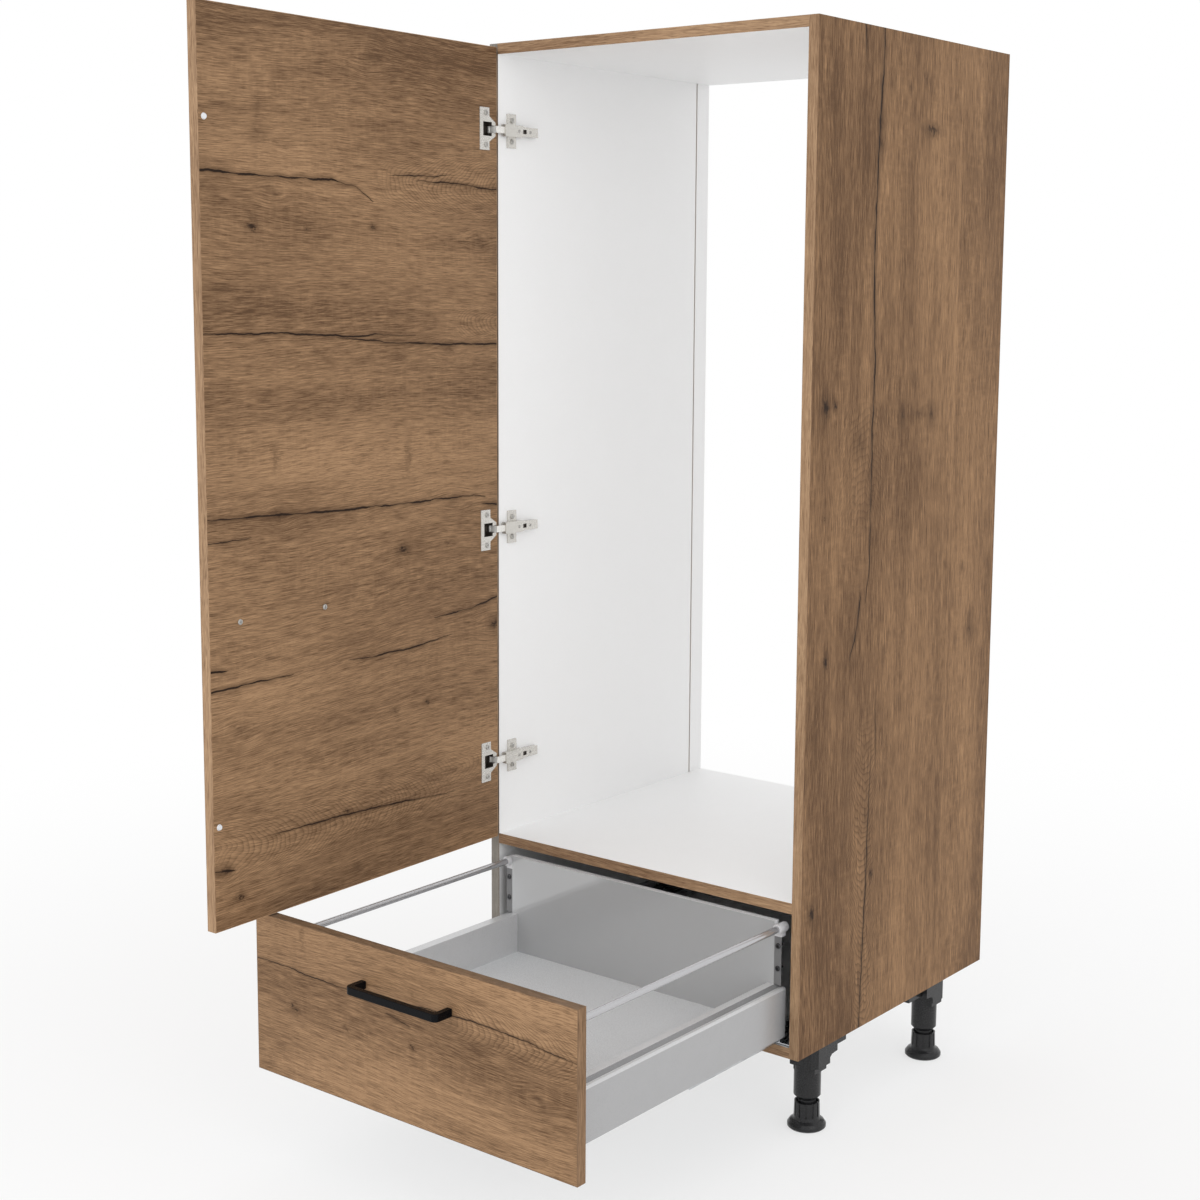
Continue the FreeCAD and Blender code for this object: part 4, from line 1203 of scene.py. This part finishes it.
FRONT_KNOTS = (
    Knot((-219, 238), 9, 0.9),
    Knot((-219, 248), 5, 0.5),
    Knot((-203, 345), 6, 0.5, upright=True),
    Knot((-117, 235), 4, 0.75),
    Knot((11, 240), 4.5, 0.85),
    Knot((12, 313), 4, 0.5),
    Knot((217, 301), 5, 0.65),
    Knot((235, 229), 8, 0.6, bow=30),
    Knot((242, 202), 4.5, 0.55),
)
FRONT_FIGURES = (Figure((60, 298), (280, 52), -150.0, 10.0, 1.1),)
DOOR_BANDS = (
    (367, -0.08), (450, 0.0), (600, 0.08), (720, 0.02), (800, 0.0), (900, -0.05), (990, 0.12), (1040, 0.10),
    (1065, -0.05), (1180, -0.07), (1300, -0.05), (1430, 0.02), (1530, -0.08), (1608, -0.20),
)
SIDE_BANDS = (
    (0, -0.22), (110, -0.26), (160, -0.20), (230, -0.08), (330, -0.04), (400, -0.06), (404, 0.14), (410, -0.12),
    (480, -0.12), (552, -0.16),
)
FRONT_BANDS = ((132, 0.12), (190, 0.07), (230, -0.04), (285, -0.05), (300, 0.12), (362, 0.12))
DOOR = Layout((-605.0, 0.0), (367.0, 1608.0), DOOR_SPLITS, DOOR_KNOTS, DOOR_FIGURES, DOOR_BANDS)
SIDE = Layout((130.0, 1620.0), (0.0, 552.0), SIDE_SPLITS, SIDE_KNOTS, SIDE_FIGURES, SIDE_BANDS)
FRONT = Layout((-300.0, 300.0), (132.0, 362.0), FRONT_SPLITS, FRONT_KNOTS, FRONT_FIGURES, FRONT_BANDS)
FRONT_BACK = replace(FRONT, knots=FRONT_KNOTS[:4], figures=(), bands=())
PLAIN = Layout(SIDE.along, SIDE.across)
SIDE_WOOD = {"light": tone(170, 133, 97), "deep": tone(94, 68, 46)}
OAK_DOOR_IN = OakDecor("oak_door_inside", Grain.Y_ON_SIDE, 3.1, DOOR)
OAK_DOOR_OUT = OakDecor("oak_door_outside", Grain.Y_ON_SIDE, 7.7, DOOR.turned())
OAK_SIDE_RIGHT = OakDecor("oak_side_right", Grain.Z_ON_SIDE, 12.4, SIDE, **SIDE_WOOD)
OAK_SIDE_LEFT = OakDecor("oak_side_left", Grain.Z_ON_SIDE, 16.9, SIDE.turned(), **SIDE_WOOD)
OAK_FRONT = OakDecor("oak_drawer_front", Grain.X_ON_FRONT, 21.3, FRONT)
OAK_FRONT_BACK = OakDecor("oak_drawer_front_back", Grain.X_ON_FRONT, 25.8, FRONT_BACK)
EDGE_LIGHT, EDGE_DEEP = tone(186, 153, 120), tone(122, 94, 70)


def oak_edging(
    grain: Grain, seed: float, light: Color = EDGE_LIGHT, deep: Color = EDGE_DEEP, name: str = ""
) -> OakDecor:
    """Gives plain oak edging whose grain runs the given way.

    Args:
        grain: The axes along and across the grain.
        seed: What sets its grain apart.
        light: Its light wood.
        deep: Its deep wood.
        name: The finish's name, where the grain's name isn't enough.

    Returns:
        The edging's finish.
    """
    return OakDecor(name or "oak_edging_" + grain.name.lower(), grain, seed, PLAIN, light, deep)


EDGE_Z_FRONT = oak_edging(Grain.Z_ON_FRONT, 31.2)
# Painted shade: a darker copy of the edging for the faces that look sideways.
EDGE_Z_SIDE_PAINTED_SHADE = oak_edging(Grain.Z_ON_SIDE, 33.9, tone(160, 128, 98), tone(98, 74, 53))
EDGE_X_FRONT = oak_edging(Grain.X_ON_FRONT, 34.6)
EDGE_X_TOP = oak_edging(Grain.X_ON_TOP, 37.5, tone(140, 113, 88), tone(84, 65, 48))
EDGE_Y_TOP = oak_edging(Grain.Y_ON_TOP, 40.3)
# Painted shade: a greyer oak for the front of the left edging strip, which lies in shadow.
EDGE_TAUPE_PAINTED_SHADE = oak_edging(Grain.Z_ON_FRONT, 44.1, tone(148, 142, 134), tone(112, 107, 101), "oak_edging_taupe_painted_shade")
WHITE_BOARD = MottledFinish(
    "white_melamine", tone(243, 243, 243), tone(247, 247, 247), 0.0011, (0.36, 0.5), depth=0.000012
)
CHIPBOARD = MottledFinish(
    "raw_chipboard", tone(150, 118, 84), tone(198, 168, 128), 0.0022, (0.75, 0.9), specular=0.2, depth=0.0002
)
BACK_BOARD = MottledFinish("white_back_board", tone(226, 226, 226), tone(234, 234, 234), 0.0016, (0.45, 0.6))
BASE_BOARD = MottledFinish(
    "speckled_base",
    tone(200, 202, 204),
    tone(226, 228, 230),
    0.0014,
    (0.5, 0.65),
    depth=0.00005,
    contrast=(0.36, 0.64),
    cloud=0.05,
)
BEECH = MottledFinish("beech_dowel", tone(196, 158, 112), tone(214, 180, 136), 0.0015, (0.6, 0.75), specular=0.3)
NICKEL = MottledFinish(
    "nickel_plate", tone(209, 206, 200), tone(212, 209, 203), 0.0009, (0.24, 0.28), metal=0.6, depth=0.0000002
)
# Painted light: a lighter, less metallic copy of the nickel for the hinge links, which lifts them out of the shade of
# the cup and the door.
NICKEL_PAINTED_LIGHT = MottledFinish(
    "nickel_painted_light", tone(232, 230, 225), tone(238, 236, 231), 0.0009, (0.25, 0.32), metal=0.1, depth=0.0000005
)
TURNED = (900.0, 900.0, 300.0)
ROLLED = (500.0, 40.0, 500.0)
SCREW_STEEL = StrokedMetal("turned_screw_steel", tone(172, 170, 166), tone(204, 202, 198), TURNED)
# Painted shade: a dark copy of the screw steel for the bracket screws, which stand in the shade of the drawer
# compartment.
SCREW_STEEL_PAINTED_SHADE = StrokedMetal("screw_steel_painted_shade", tone(66, 66, 68), tone(92, 92, 94), TURNED)
ZINC = StrokedMetal("rolled_zinc", tone(176, 178, 180), tone(206, 208, 210), ROLLED)
BLACK_METAL = MottledFinish(
    "black_handle", tone(8, 9, 12), tone(14, 15, 18), 0.0007, (0.22, 0.32), specular=0.09
)
CLEAR_PLASTIC = MottledFinish("clear_bumper", tone(214, 216, 220), tone(232, 234, 238), 0.0008, (0.12, 0.25))
SILVER_GREY = MottledFinish(
    "silver_grey_steel", tone(203, 203, 204), tone(207, 207, 208), 0.0006, (0.27, 0.32), metal=0.25, depth=0.000001
)
# Painted shade: the drawer sides' outer skin is a darker copy of the silver-grey steel, to tone down the light of the
# fill lamp.
SKIN_GREY_PAINTED_SHADE = MottledFinish(
    "grey_steel_skin_painted_shade", tone(170, 170, 171), tone(174, 174, 175), 0.0006, (0.27, 0.32), metal=0.2, depth=0.000001
)
# Painted shade: the ramp on top of the drawer sides is darker still, to draw the shade line between the two levels.
RAMP_GREY_PAINTED_SHADE = MottledFinish(
    "grey_steel_ramp_painted_shade", tone(138, 138, 139), tone(144, 144, 145), 0.0006, (0.22, 0.28), metal=0.3, depth=0.000001
)
GREY_STEEL = MottledFinish(
    "coated_back_steel", tone(184, 185, 186), tone(188, 189, 190), 0.0006, (0.04, 0.07), metal=0.3, depth=0.0000001
)
# Painted shade: the back brackets are silver-grey steel, darkened here for the shade inside the drawer compartment.
BRACKET_GREY_PAINTED_SHADE = MottledFinish(
    "bracket_grey_painted_shade", tone(112, 112, 113), tone(120, 120, 121), 0.0009, (0.3, 0.42), depth=0.00001
)
RAIL_METAL = MottledFinish(
    "drawn_rail_metal", tone(186, 186, 188), tone(192, 192, 194), 0.0008, (0.14, 0.2), metal=0.7, depth=0.0000003
)
GREY_PLASTIC = MottledFinish(
    "moulded_grey_plastic", tone(206, 206, 208), tone(214, 214, 216), 0.0009, (0.3, 0.42), depth=0.000004
)
CUP_SHADE = MottledFinish("cup_shade", tone(52, 46, 42), tone(66, 60, 55), 0.0008, (0.4, 0.55), specular=0.25)
# Painted highlight: a near white copy of the drawer back's steel for its top and right rims, for the light they catch.
STEEL_RIM_PAINTED_HIGHLIGHT = MottledFinish(
    "steel_edge_painted_highlight", tone(240, 240, 241), tone(245, 245, 246), 0.0006, (0.2, 0.3), depth=0.000001
)
BLACK_PLASTIC = MottledFinish(
    "moulded_black_plastic", tone(30, 30, 31), tone(40, 40, 41), 0.0009, (0.22, 0.32), specular=0.34, depth=0.00001
)

Nodes = dict[str, bpy.types.Object]
Corners = list[bmesh.types.BMVert]
FaceFinish = tuple[Test, Finish]


def facing(way: Vector, finish: Finish, close: float = 0.9) -> FaceFinish:
    """Gives a finish to the faces that look a given way, as closely as a cosine says."""
    aim = way.normalized()
    return (lambda face: face.normal.dot(aim) > close, finish)


def dress(node: bpy.types.Object, rest: Finish, *faces: FaceFinish) -> None:
    """Gives a CAD node its finishes.

    Args:
        node: The node's object.
        rest: The finish of all faces that no test picks.
        faces: Tests with the finish of the faces that pass, the last that holds counting.
    """
    node.data.materials.clear()
    for finish in (rest, *(finish for _, finish in faces)):
        node.data.materials.append(finish.make())
    for polygon in node.data.polygons:
        polygon.material_index = 0
        for index, (test, _) in enumerate(faces, 1):
            if test(polygon):
                polygon.material_index = index
    LOG.info("dressed %s in %s", node.name, ", ".join(slot.name for slot in node.data.materials))


def islands(node: bpy.types.Object) -> list[list[Vector]]:
    """Finds the separate solids of a node.

    Args:
        node: The node's object.

    Returns:
        The corners of each solid, each corner once.
    """
    mesh = node.data
    spots = [tuple(round(part, SPOT_DIGITS) for part in vertex.co) for vertex in mesh.vertices]
    owner = {spot: spot for spot in spots}

    def root(spot: tuple) -> tuple:
        """Follows the owners of a spot.

        Args:
            spot: The spot.

        Returns:
            The spot that stands for its solid.
        """
        while owner[spot] != spot:
            spot = owner[spot]
        return spot

    for polygon in mesh.polygons:
        first = root(spots[polygon.vertices[0]])
        for index in polygon.vertices[1:]:
            owner[root(spots[index])] = first
    found: dict[tuple, list[Vector]] = {}
    for spot in owner:
        found.setdefault(root(spot), []).append(Vector(spot))
    return list(found.values())


def add_object(name: str, data: bpy.types.ID) -> bpy.types.Object:
    """Adds an object with the given data to the scene.

    Args:
        name: The object's name.
        data: Its mesh, lamp or camera.

    Returns:
        The new object.
    """
    made = bpy.data.objects.new(name, data)
    bpy.context.scene.collection.objects.link(made)
    return made


def stand_in(node: bpy.types.Object, ending: str, mesh: bpy.types.Mesh, body: str) -> bpy.types.Object:
    """Makes a piece of the visual model that stands for a CAD node.

    Args:
        node: The node that it replaces.
        ending: What its name adds to the node's.
        mesh: Its mesh, with its materials.
        body: The body that it rides on.

    Returns:
        The new piece.
    """
    piece = add_object(node.name + ending, mesh)
    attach(piece, body)
    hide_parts(node.name)
    LOG.info("piece %s rides on %s", piece.name, body)
    return piece


@dataclass
class Screws:
    """Cross-recessed pan-head screws in the places of a node's plain ones.

    The profile goes from the head's flat to the shank, in shares of the head's radius and height. The recess is in
    shares of them too.
    """

    node: bpy.types.Object
    body: str
    out: Vector
    finish: Finish = SCREW_STEEL
    sides: int = 32
    profile: tuple[Point, ...] = ((0.66, 0.0), (0.84, -0.12), (0.96, -0.42), (1.0, -1.0), (0.45, -1.0))
    arms: int = 4
    arm: float = 0.52
    arm_width: float = 0.13
    recess: float = 0.6
    taper: float = 0.62
    head: float = 0.002
    head_share: float = 0.98

    def build(self) -> None:
        """Builds all screws of the node as one piece that replaces it."""
        shape = bmesh.new()
        for corners in islands(self.node):
            self.add(shape, corners)
        bmesh.ops.recalc_face_normals(shape, faces=shape.faces)
        mesh = bpy.data.meshes.new(self.node.name + "_turned")
        shape.to_mesh(mesh)
        shape.free()
        mesh.materials.append(self.finish.make())
        stand_in(self.node, "_turned", mesh, self.body)

    def ring(self, shape: bmesh.types.BMesh, turn: Matrix, radius: float, height: float) -> Corners:
        """Adds a ring of corners round the screw's axis.

        Args:
            shape: The mesh.
            turn: The screw's place.
            radius: The ring's radius.
            height: Its height over the head's top.

        Returns:
            The corners in order.
        """
        angles = [TURN * step / self.sides for step in range(self.sides)]
        spots = [Vector((radius * math.cos(angle), radius * math.sin(angle), height)) for angle in angles]
        return [shape.verts.new(turn @ spot) for spot in spots]

    def cross(self, shape: bmesh.types.BMesh, turn: Matrix, scale: float, height: float) -> Corners:
        """Adds the outline of the cross recess.

        Args:
            shape: The mesh.
            turn: The screw's place.
            scale: The head's radius times the outline's share of its full size.
            height: Its height over the head's top.

        Returns:
            The corners in order.
        """
        far, near = self.arm * scale, self.arm_width * scale
        made = []
        for step in range(self.arms):
            way = Matrix.Rotation(TURN * step / self.arms, 3, "Z")
            for x, y in ((far, -near), (far, near), (near, near)):
                made.append(shape.verts.new(turn @ (way @ Vector((x, y, height)))))
        return made

    def skirt(self, shape: bmesh.types.BMesh, first: Corners, second: Corners) -> None:
        """Closes the band between two outlines of the same count.

        Args:
            shape: The mesh.
            first: The first outline.
            second: The second outline.
        """
        for index in range(len(first)):
            after = (index + 1) % len(first)
            shape.faces.new((first[index], first[after], second[after], second[index]))

    def add(self, shape: bmesh.types.BMesh, corners: list[Vector]) -> None:
        """Adds one screw where a plain one stands.

        Args:
            shape: The mesh.
            corners: The plain screw's corners.
        """
        middle = sum(corners, Vector()) / len(corners)
        heights = [self.out.dot(corner) for corner in corners]
        top = middle + self.out * (max(heights) - self.out.dot(middle))
        radius = max((corner - middle).cross(self.out).length for corner in corners)
        length = max(heights) - min(heights)
        turn = Matrix.Translation(top) @ self.out.to_track_quat("Z", "Y").to_matrix().to_4x4()
        head = min(self.head, self.head_share * length)
        rings = [self.ring(shape, turn, radius * share, head * drop) for share, drop in self.profile]
        rings.append(self.ring(shape, turn, radius * self.profile[-1][0], -length))
        for first, second in zip(rings, rings[1:]):
            self.skirt(shape, first, second)
        shape.faces.new(rings[-1])
        rim = self.cross(shape, turn, radius, 0.0)
        floor = self.cross(shape, turn, radius * self.taper, -self.recess * head)
        self.skirt(shape, rim, floor)
        shape.faces.new(floor)
        edges = []
        for loop in (rings[0], rim):
            for index, corner in enumerate(loop):
                ends = (corner, loop[(index + 1) % len(loop)])
                edges.append(shape.edges.get(ends) or shape.edges.new(ends))
        bmesh.ops.triangle_fill(shape, use_beauty=True, edges=edges)


@dataclass
class Rounding:
    """Rounded edges on a dressed node, as a piece of the same shape that replaces it."""

    node: bpy.types.Object
    body: str
    slot: str
    width: float
    segments: int = 3
    least_angle: float = math.radians(35.0)
    weld_distance: float = 0.00002

    def build(self) -> None:
        """Joins the faces of the node's copy and rounds its sharp edges."""
        piece = stand_in(self.node, "_rounded", self.node.data.copy(), self.body)
        weld = piece.modifiers.new("weld", "WELD")
        weld.merge_threshold = self.weld_distance
        bevel = piece.modifiers.new("rounding", "BEVEL")
        bevel.width = self.width
        bevel.segments = self.segments
        bevel.limit_method = "ANGLE"
        bevel.angle_limit = self.least_angle


@dataclass
class Carcass:
    """The white boards with oak outside, their edging and dowels."""

    nodes: Nodes
    boards: tuple[str, ...] = ("fridge_shelf", "bottom_panel")

    def build(self) -> None:
        """Dresses the boards, the edging, the back and the dowels."""
        rear = facing(Way.BACK.vector, CHIPBOARD)
        for name, way, finish in (
            ("side_panel_right", Way.RIGHT, OAK_SIDE_RIGHT),
            ("side_panel_left", Way.LEFT, OAK_SIDE_LEFT),
            ("top_panel", Way.UP, BACK_BOARD),
        ):
            dress(self.nodes[name], WHITE_BOARD, facing(way.vector, finish), rear)
        for name in self.boards:
            dress(self.nodes[name], WHITE_BOARD, rear)
        dress(self.nodes["lower_back_panel"], BACK_BOARD)
        dress(self.nodes["carcass_dowels"], BEECH)
        self.edge()

    def edge(self) -> None:
        """Dresses the edging, the left strip's front in a greyer oak that paints the shadow on it."""
        # The sideways faces take the darker edging, a painted shade.
        ends = [facing(way.vector, EDGE_Z_SIDE_PAINTED_SHADE) for way in (Way.RIGHT, Way.LEFT)]
        front, _ = facing(Way.FRONT.vector, EDGE_TAUPE_PAINTED_SHADE)
        left = (lambda face: face.center.x < 0.0 and front(face), EDGE_TAUPE_PAINTED_SHADE)
        dress(self.nodes["side_edging"], EDGE_Z_FRONT, *ends, left)
        dress(self.nodes["crosspiece_edging"], EDGE_X_FRONT)


@dataclass
class Door:
    """The oak door with its edging, handle and bumpers."""

    nodes: Nodes
    inside: Vector
    handle_rounding: float = 0.0009

    def build(self) -> None:
        """Dresses the door, rounds its handle and builds its screws."""
        faces = (facing(self.inside, OAK_DOOR_IN), facing(-self.inside, OAK_DOOR_OUT))
        dress(self.nodes["door_panel"], CHIPBOARD, *faces)
        ends = [facing(way.vector, EDGE_Y_TOP) for way in (Way.UP, Way.DOWN)]
        dress(self.nodes["door_edging"], EDGE_Z_FRONT, *ends)
        dress(self.nodes["door_handle"], BLACK_METAL)
        Rounding(self.nodes["door_handle"], "door", "black_metal", self.handle_rounding).build()
        Screws(self.nodes["door_handle_screws"], "door", self.inside).build()
        dress(self.nodes["door_bumpers"], CLEAR_PLASTIC)


@dataclass
class Hinges:
    """The concealed cup hinges, of three levels with the same parts."""

    nodes: Nodes
    inside: Vector
    levels: tuple[str, ...] = ("upper", "middle", "lower")
    flange: float = 0.0018
    link_end: float = 0.004
    slot_along: Point = (0.0455, 0.0565)
    slot_top: float = -0.2731
    slot_wall: float = -0.1
    rounding: float = 0.0004

    def build(self) -> None:
        """Dresses plates, arms, cups and pins, and builds the screws."""
        for level in self.levels:
            plate, arm, cup = (self.nodes[f"hinge_{part}_{level}"] for part in ("plate", "arm", "cup"))
            dress(plate, NICKEL)
            # The arm's link takes the lighter nickel, painted light.
            dress(arm, NICKEL, (self.in_link, NICKEL_PAINTED_LIGHT), (self.in_slot, CUP_SHADE))
            self.dress_cup(cup)
            for node, body in ((plate, "carcass"), (arm, "carcass"), (cup, "door")):
                Rounding(node, body, "nickel", self.rounding).build()
        dress(self.nodes["hinge_pins"], SCREW_STEEL)
        for name in ("hinge_plate_screws", "hinge_adjusting_screws"):
            Screws(self.nodes[name], "carcass", Way.RIGHT.vector).build()
        Screws(self.nodes["hinge_cup_screws"], "door", self.inside).build()

    def in_link(self, face: bpy.types.MeshPolygon) -> bool:
        """Tells whether a face of an arm lies on the link ahead of the carcass."""
        return face.center.y < self.link_end

    def in_slot(self, face: bpy.types.MeshPolygon) -> bool:
        """Tells whether a face of an arm lies in its slot."""
        low, high = self.slot_along
        return low < face.center.y < high and face.center.x < self.slot_top and face.normal.x > self.slot_wall

    def dress_cup(self, cup: bpy.types.Object) -> None:
        """Dresses a cup: a bright flange over a dark inside."""
        top = max(self.inside.dot(vertex.co) for vertex in cup.data.vertices)
        dress(cup, NICKEL, (lambda face: self.inside.dot(face.center) < top - self.flange, CUP_SHADE))


@dataclass
class Drawer:
    """The drawer: oak front, steel sides and back, speckled base, rails and runners."""

    nodes: Nodes
    handle_rounding: float = 0.0009
    skin_close: float = 0.98
    ramp_rise: float = 2.0

    def build(self) -> None:
        """Dresses the drawer and its runners, rounds its handle and builds its screws."""
        faces = (facing(Way.FRONT.vector, OAK_FRONT), facing(Way.BACK.vector, OAK_FRONT_BACK))
        dress(self.nodes["drawer_front"], CHIPBOARD, *faces)
        # The ends take the darker edging, a painted shade.
        ends = [facing(way.vector, EDGE_Z_SIDE_PAINTED_SHADE) for way in (Way.RIGHT, Way.LEFT)]
        dress(self.nodes["drawer_front_edging"], EDGE_X_TOP, *ends)
        dress(self.nodes["drawer_handle"], BLACK_METAL)
        Rounding(self.nodes["drawer_handle"], "drawer", "black_metal", self.handle_rounding).build()
        # The top and right rims take a painted highlight.
        rim = [facing(way.vector, STEEL_RIM_PAINTED_HIGHLIGHT) for way in (Way.UP, Way.RIGHT)]
        dress(self.nodes["drawer_back"], GREY_STEEL, *rim)
        for name, finish in (
            ("drawer_base", BASE_BOARD),
            ("rail_front_sockets", GREY_PLASTIC),
            ("rail_rear_holders", GREY_PLASTIC),
            ("runner_screws", SCREW_STEEL),
            ("front_fixings", SCREW_STEEL),
        ):
            dress(self.nodes[name], finish)
        for hand, way in (("left", Way.LEFT), ("right", Way.RIGHT)):
            self.dress_side(self.nodes["drawer_side_" + hand], way.vector)
            # The bracket's darker grey is painted shade.
            dress(self.nodes["back_bracket_" + hand], BRACKET_GREY_PAINTED_SHADE)
            dress(self.nodes["drawer_rail_" + hand], RAIL_METAL)
            for part in ("drawer_runner_", "middle_runner_", "cabinet_runner_"):
                dress(self.nodes[part + hand], ZINC)
        Screws(self.nodes["drawer_handle_screws"], "drawer", Way.BACK.vector).build()
        # The bracket screws are darkened with painted shade.
        Screws(self.nodes["back_bracket_screws"], "drawer", Way.FRONT.vector, SCREW_STEEL_PAINTED_SHADE).build()

    def dress_side(self, side: bpy.types.Object, out: Vector) -> None:
        """Dresses a hollow side: a greyer outer skin, a painted shade that tones down the light of the fill lamp, and a
        darker ramp, a painted shade line between the two levels of its top.

        Args:
            side: The side's object.
            out: The way that its outer skin looks.
        """
        skin = facing(out, SKIN_GREY_PAINTED_SHADE, self.skin_close)
        ramp = facing(out + self.ramp_rise * Way.UP.vector, RAMP_GREY_PAINTED_SHADE, self.skin_close)
        dress(side, SILVER_GREY, skin, ramp)


@dataclass
class Feet:
    """The four adjustable feet."""

    nodes: Nodes
    places: tuple[str, ...] = ("front_left", "front_right", "rear_left", "rear_right")

    def build(self) -> None:
        """Dresses sockets and adjusters, and builds their screws."""
        for place in self.places:
            for part in ("foot_socket_", "foot_adjuster_"):
                dress(self.nodes[part + place], BLACK_PLASTIC)
        Screws(self.nodes["foot_screws"], "carcass", Way.DOWN.vector).build()


@dataclass(frozen=True)
class Lamp:
    """A large soft lamp: where it stands, its power in watts, its width and height, and what it looks at."""

    name: str
    place: Triple
    power: float
    size: Point = (3.0, 2.4)
    aim: Triple = (0.0, 0.0, 0.8)

    def build(self) -> None:
        """Builds the lamp."""
        data = bpy.data.lights.new(self.name, "AREA")
        data.shape = "RECTANGLE"
        data.size, data.size_y = self.size
        data.energy = self.power
        lamp = add_object(self.name, data)
        lamp.location = self.place
        lamp.rotation_mode = "QUATERNION"
        lamp.rotation_quaternion = (Vector(self.aim) - Vector(self.place)).to_track_quat("-Z", "Y")


@dataclass
class Studio:
    """The pale floor, the soft lights and the camera."""

    floor_radius: float = 14.0
    floor_sides: int = 64
    floor_drop: float = 0.0005
    paper: Color = (0.86, 0.86, 0.86, 1.0)
    white_far: Point = (0.7, 2.6)
    white_share: Point = (0.62, 1.0)
    sky_strength: float = 0.98
    seen_strength: float = 1.0
    lamps: tuple[Lamp, ...] = (Lamp("key", (-0.6, -4.2, 2.6), 36.0), Lamp("fill", (4.2, -1.6, 2.2), 30.0))
    camera_place: Triple = (1.7556, -2.2480, 1.2485)
    camera_yaw: float = -0.6575
    camera_pitch: float = -0.1361
    camera_roll: float = 0.009
    focal_pixels: float = 1924.99
    frame_pixels: float = 1200.0
    principal: Point = (650.0, 550.0)
    sensor: float = 36.0

    def build(self) -> None:
        """Builds the floor, the world, a key lamp in front, a weaker fill at the right, and the camera."""
        self.floor()
        self.world()
        for lamp in self.lamps:
            lamp.build()
        self.camera()

    def floor(self) -> None:
        """Builds the floor: it keeps the shadow near the object and fades to white far away."""
        corners = []
        for step in range(self.floor_sides):
            turn = TURN * step / self.floor_sides
            corners.append((self.floor_radius * math.cos(turn), self.floor_radius * math.sin(turn), -self.floor_drop))
        mesh = bpy.data.meshes.new("studio_floor")
        mesh.from_pydata(corners, [], [tuple(range(self.floor_sides))])
        floor = add_object("studio_floor", mesh)
        made, graph = bare_material("studio_floor")
        paper = graph.node("ShaderNodeBsdfDiffuse")
        paper.inputs["Color"].default_value = self.paper
        glow = graph.node("ShaderNodeEmission")
        glow.inputs["Strength"].default_value = self.seen_strength
        far = graph.ease(graph.length("LENGTH", graph.here()), *self.white_far, *self.white_share)
        white = graph.math("MULTIPLY", graph.seen(), far)
        mix = graph.feed_all(graph.node("ShaderNodeMixShader"), (white, paper.outputs[0], glow.outputs[0]))
        graph.surface(mix.outputs[0])
        mesh.materials.append(made)

    def world(self) -> None:
        """Builds the world: white where it is seen, plain soft light elsewhere."""
        world = bpy.data.worlds.new("studio_world")
        bpy.context.scene.world = world
        world.use_nodes = True
        world.node_tree.nodes.clear()
        graph = Graph(world.node_tree)
        sky = graph.node("ShaderNodeBackground")
        sky.inputs["Color"].default_value = (1.0, 1.0, 1.0, 1.0)
        strength = graph.node("ShaderNodeMix", data_type="FLOAT")
        for index, value in ((0, graph.seen()), (2, self.sky_strength), (3, self.seen_strength)):
            graph.feed(strength.inputs[index], value)
        graph.feed(sky.inputs["Strength"], strength.outputs[0])
        graph.surface(sky.outputs[0], "ShaderNodeOutputWorld")

    def camera(self) -> None:
        """Builds the camera at the photograph's angle."""
        yaw, pitch, roll = self.camera_yaw, self.camera_pitch, self.camera_roll
        ahead = Vector((math.sin(yaw) * math.cos(pitch), math.cos(yaw) * math.cos(pitch), math.sin(pitch)))
        level = Vector((math.cos(yaw), -math.sin(yaw), 0.0))
        upright = level.cross(ahead)
        across = math.cos(roll) * level + math.sin(roll) * upright
        up = -math.sin(roll) * level + math.cos(roll) * upright
        data = bpy.data.cameras.new("camera")
        data.sensor_width = self.sensor
        data.lens = self.focal_pixels * self.sensor / self.frame_pixels
        data.shift_x = (self.frame_pixels / 2.0 - self.principal[0]) / self.frame_pixels
        data.shift_y = (self.principal[1] - self.frame_pixels / 2.0) / self.frame_pixels
        camera = add_object("camera", data)
        turn = Matrix((across, up, -ahead)).transposed().to_4x4()
        camera.matrix_world = Matrix.Translation(Vector(self.camera_place)) @ turn
        bpy.context.scene.camera = camera


def main() -> None:
    """Loads the frame, dresses each sub-assembly and builds the studio."""
    logging.basicConfig(level=logging.INFO, format="%(name)s: %(message)s")
    for item in list(bpy.data.objects):
        bpy.data.objects.remove(item)
    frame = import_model()
    nodes = frame["nodes"]
    inside = Vector((math.cos(DOOR_SKEW), math.sin(DOOR_SKEW), 0.0))
    for assembly in (
        Carcass(nodes),
        Door(nodes, inside),
        Hinges(nodes, inside),
        Drawer(nodes),
        Feet(nodes),
        Studio(),
    ):
        assembly.build()
        LOG.info("built %s", type(assembly).__name__)
    bpy.context.scene.view_settings.view_transform = "Standard"
    bpy.context.view_layer.update()


if __name__ == "__main__":
    main()
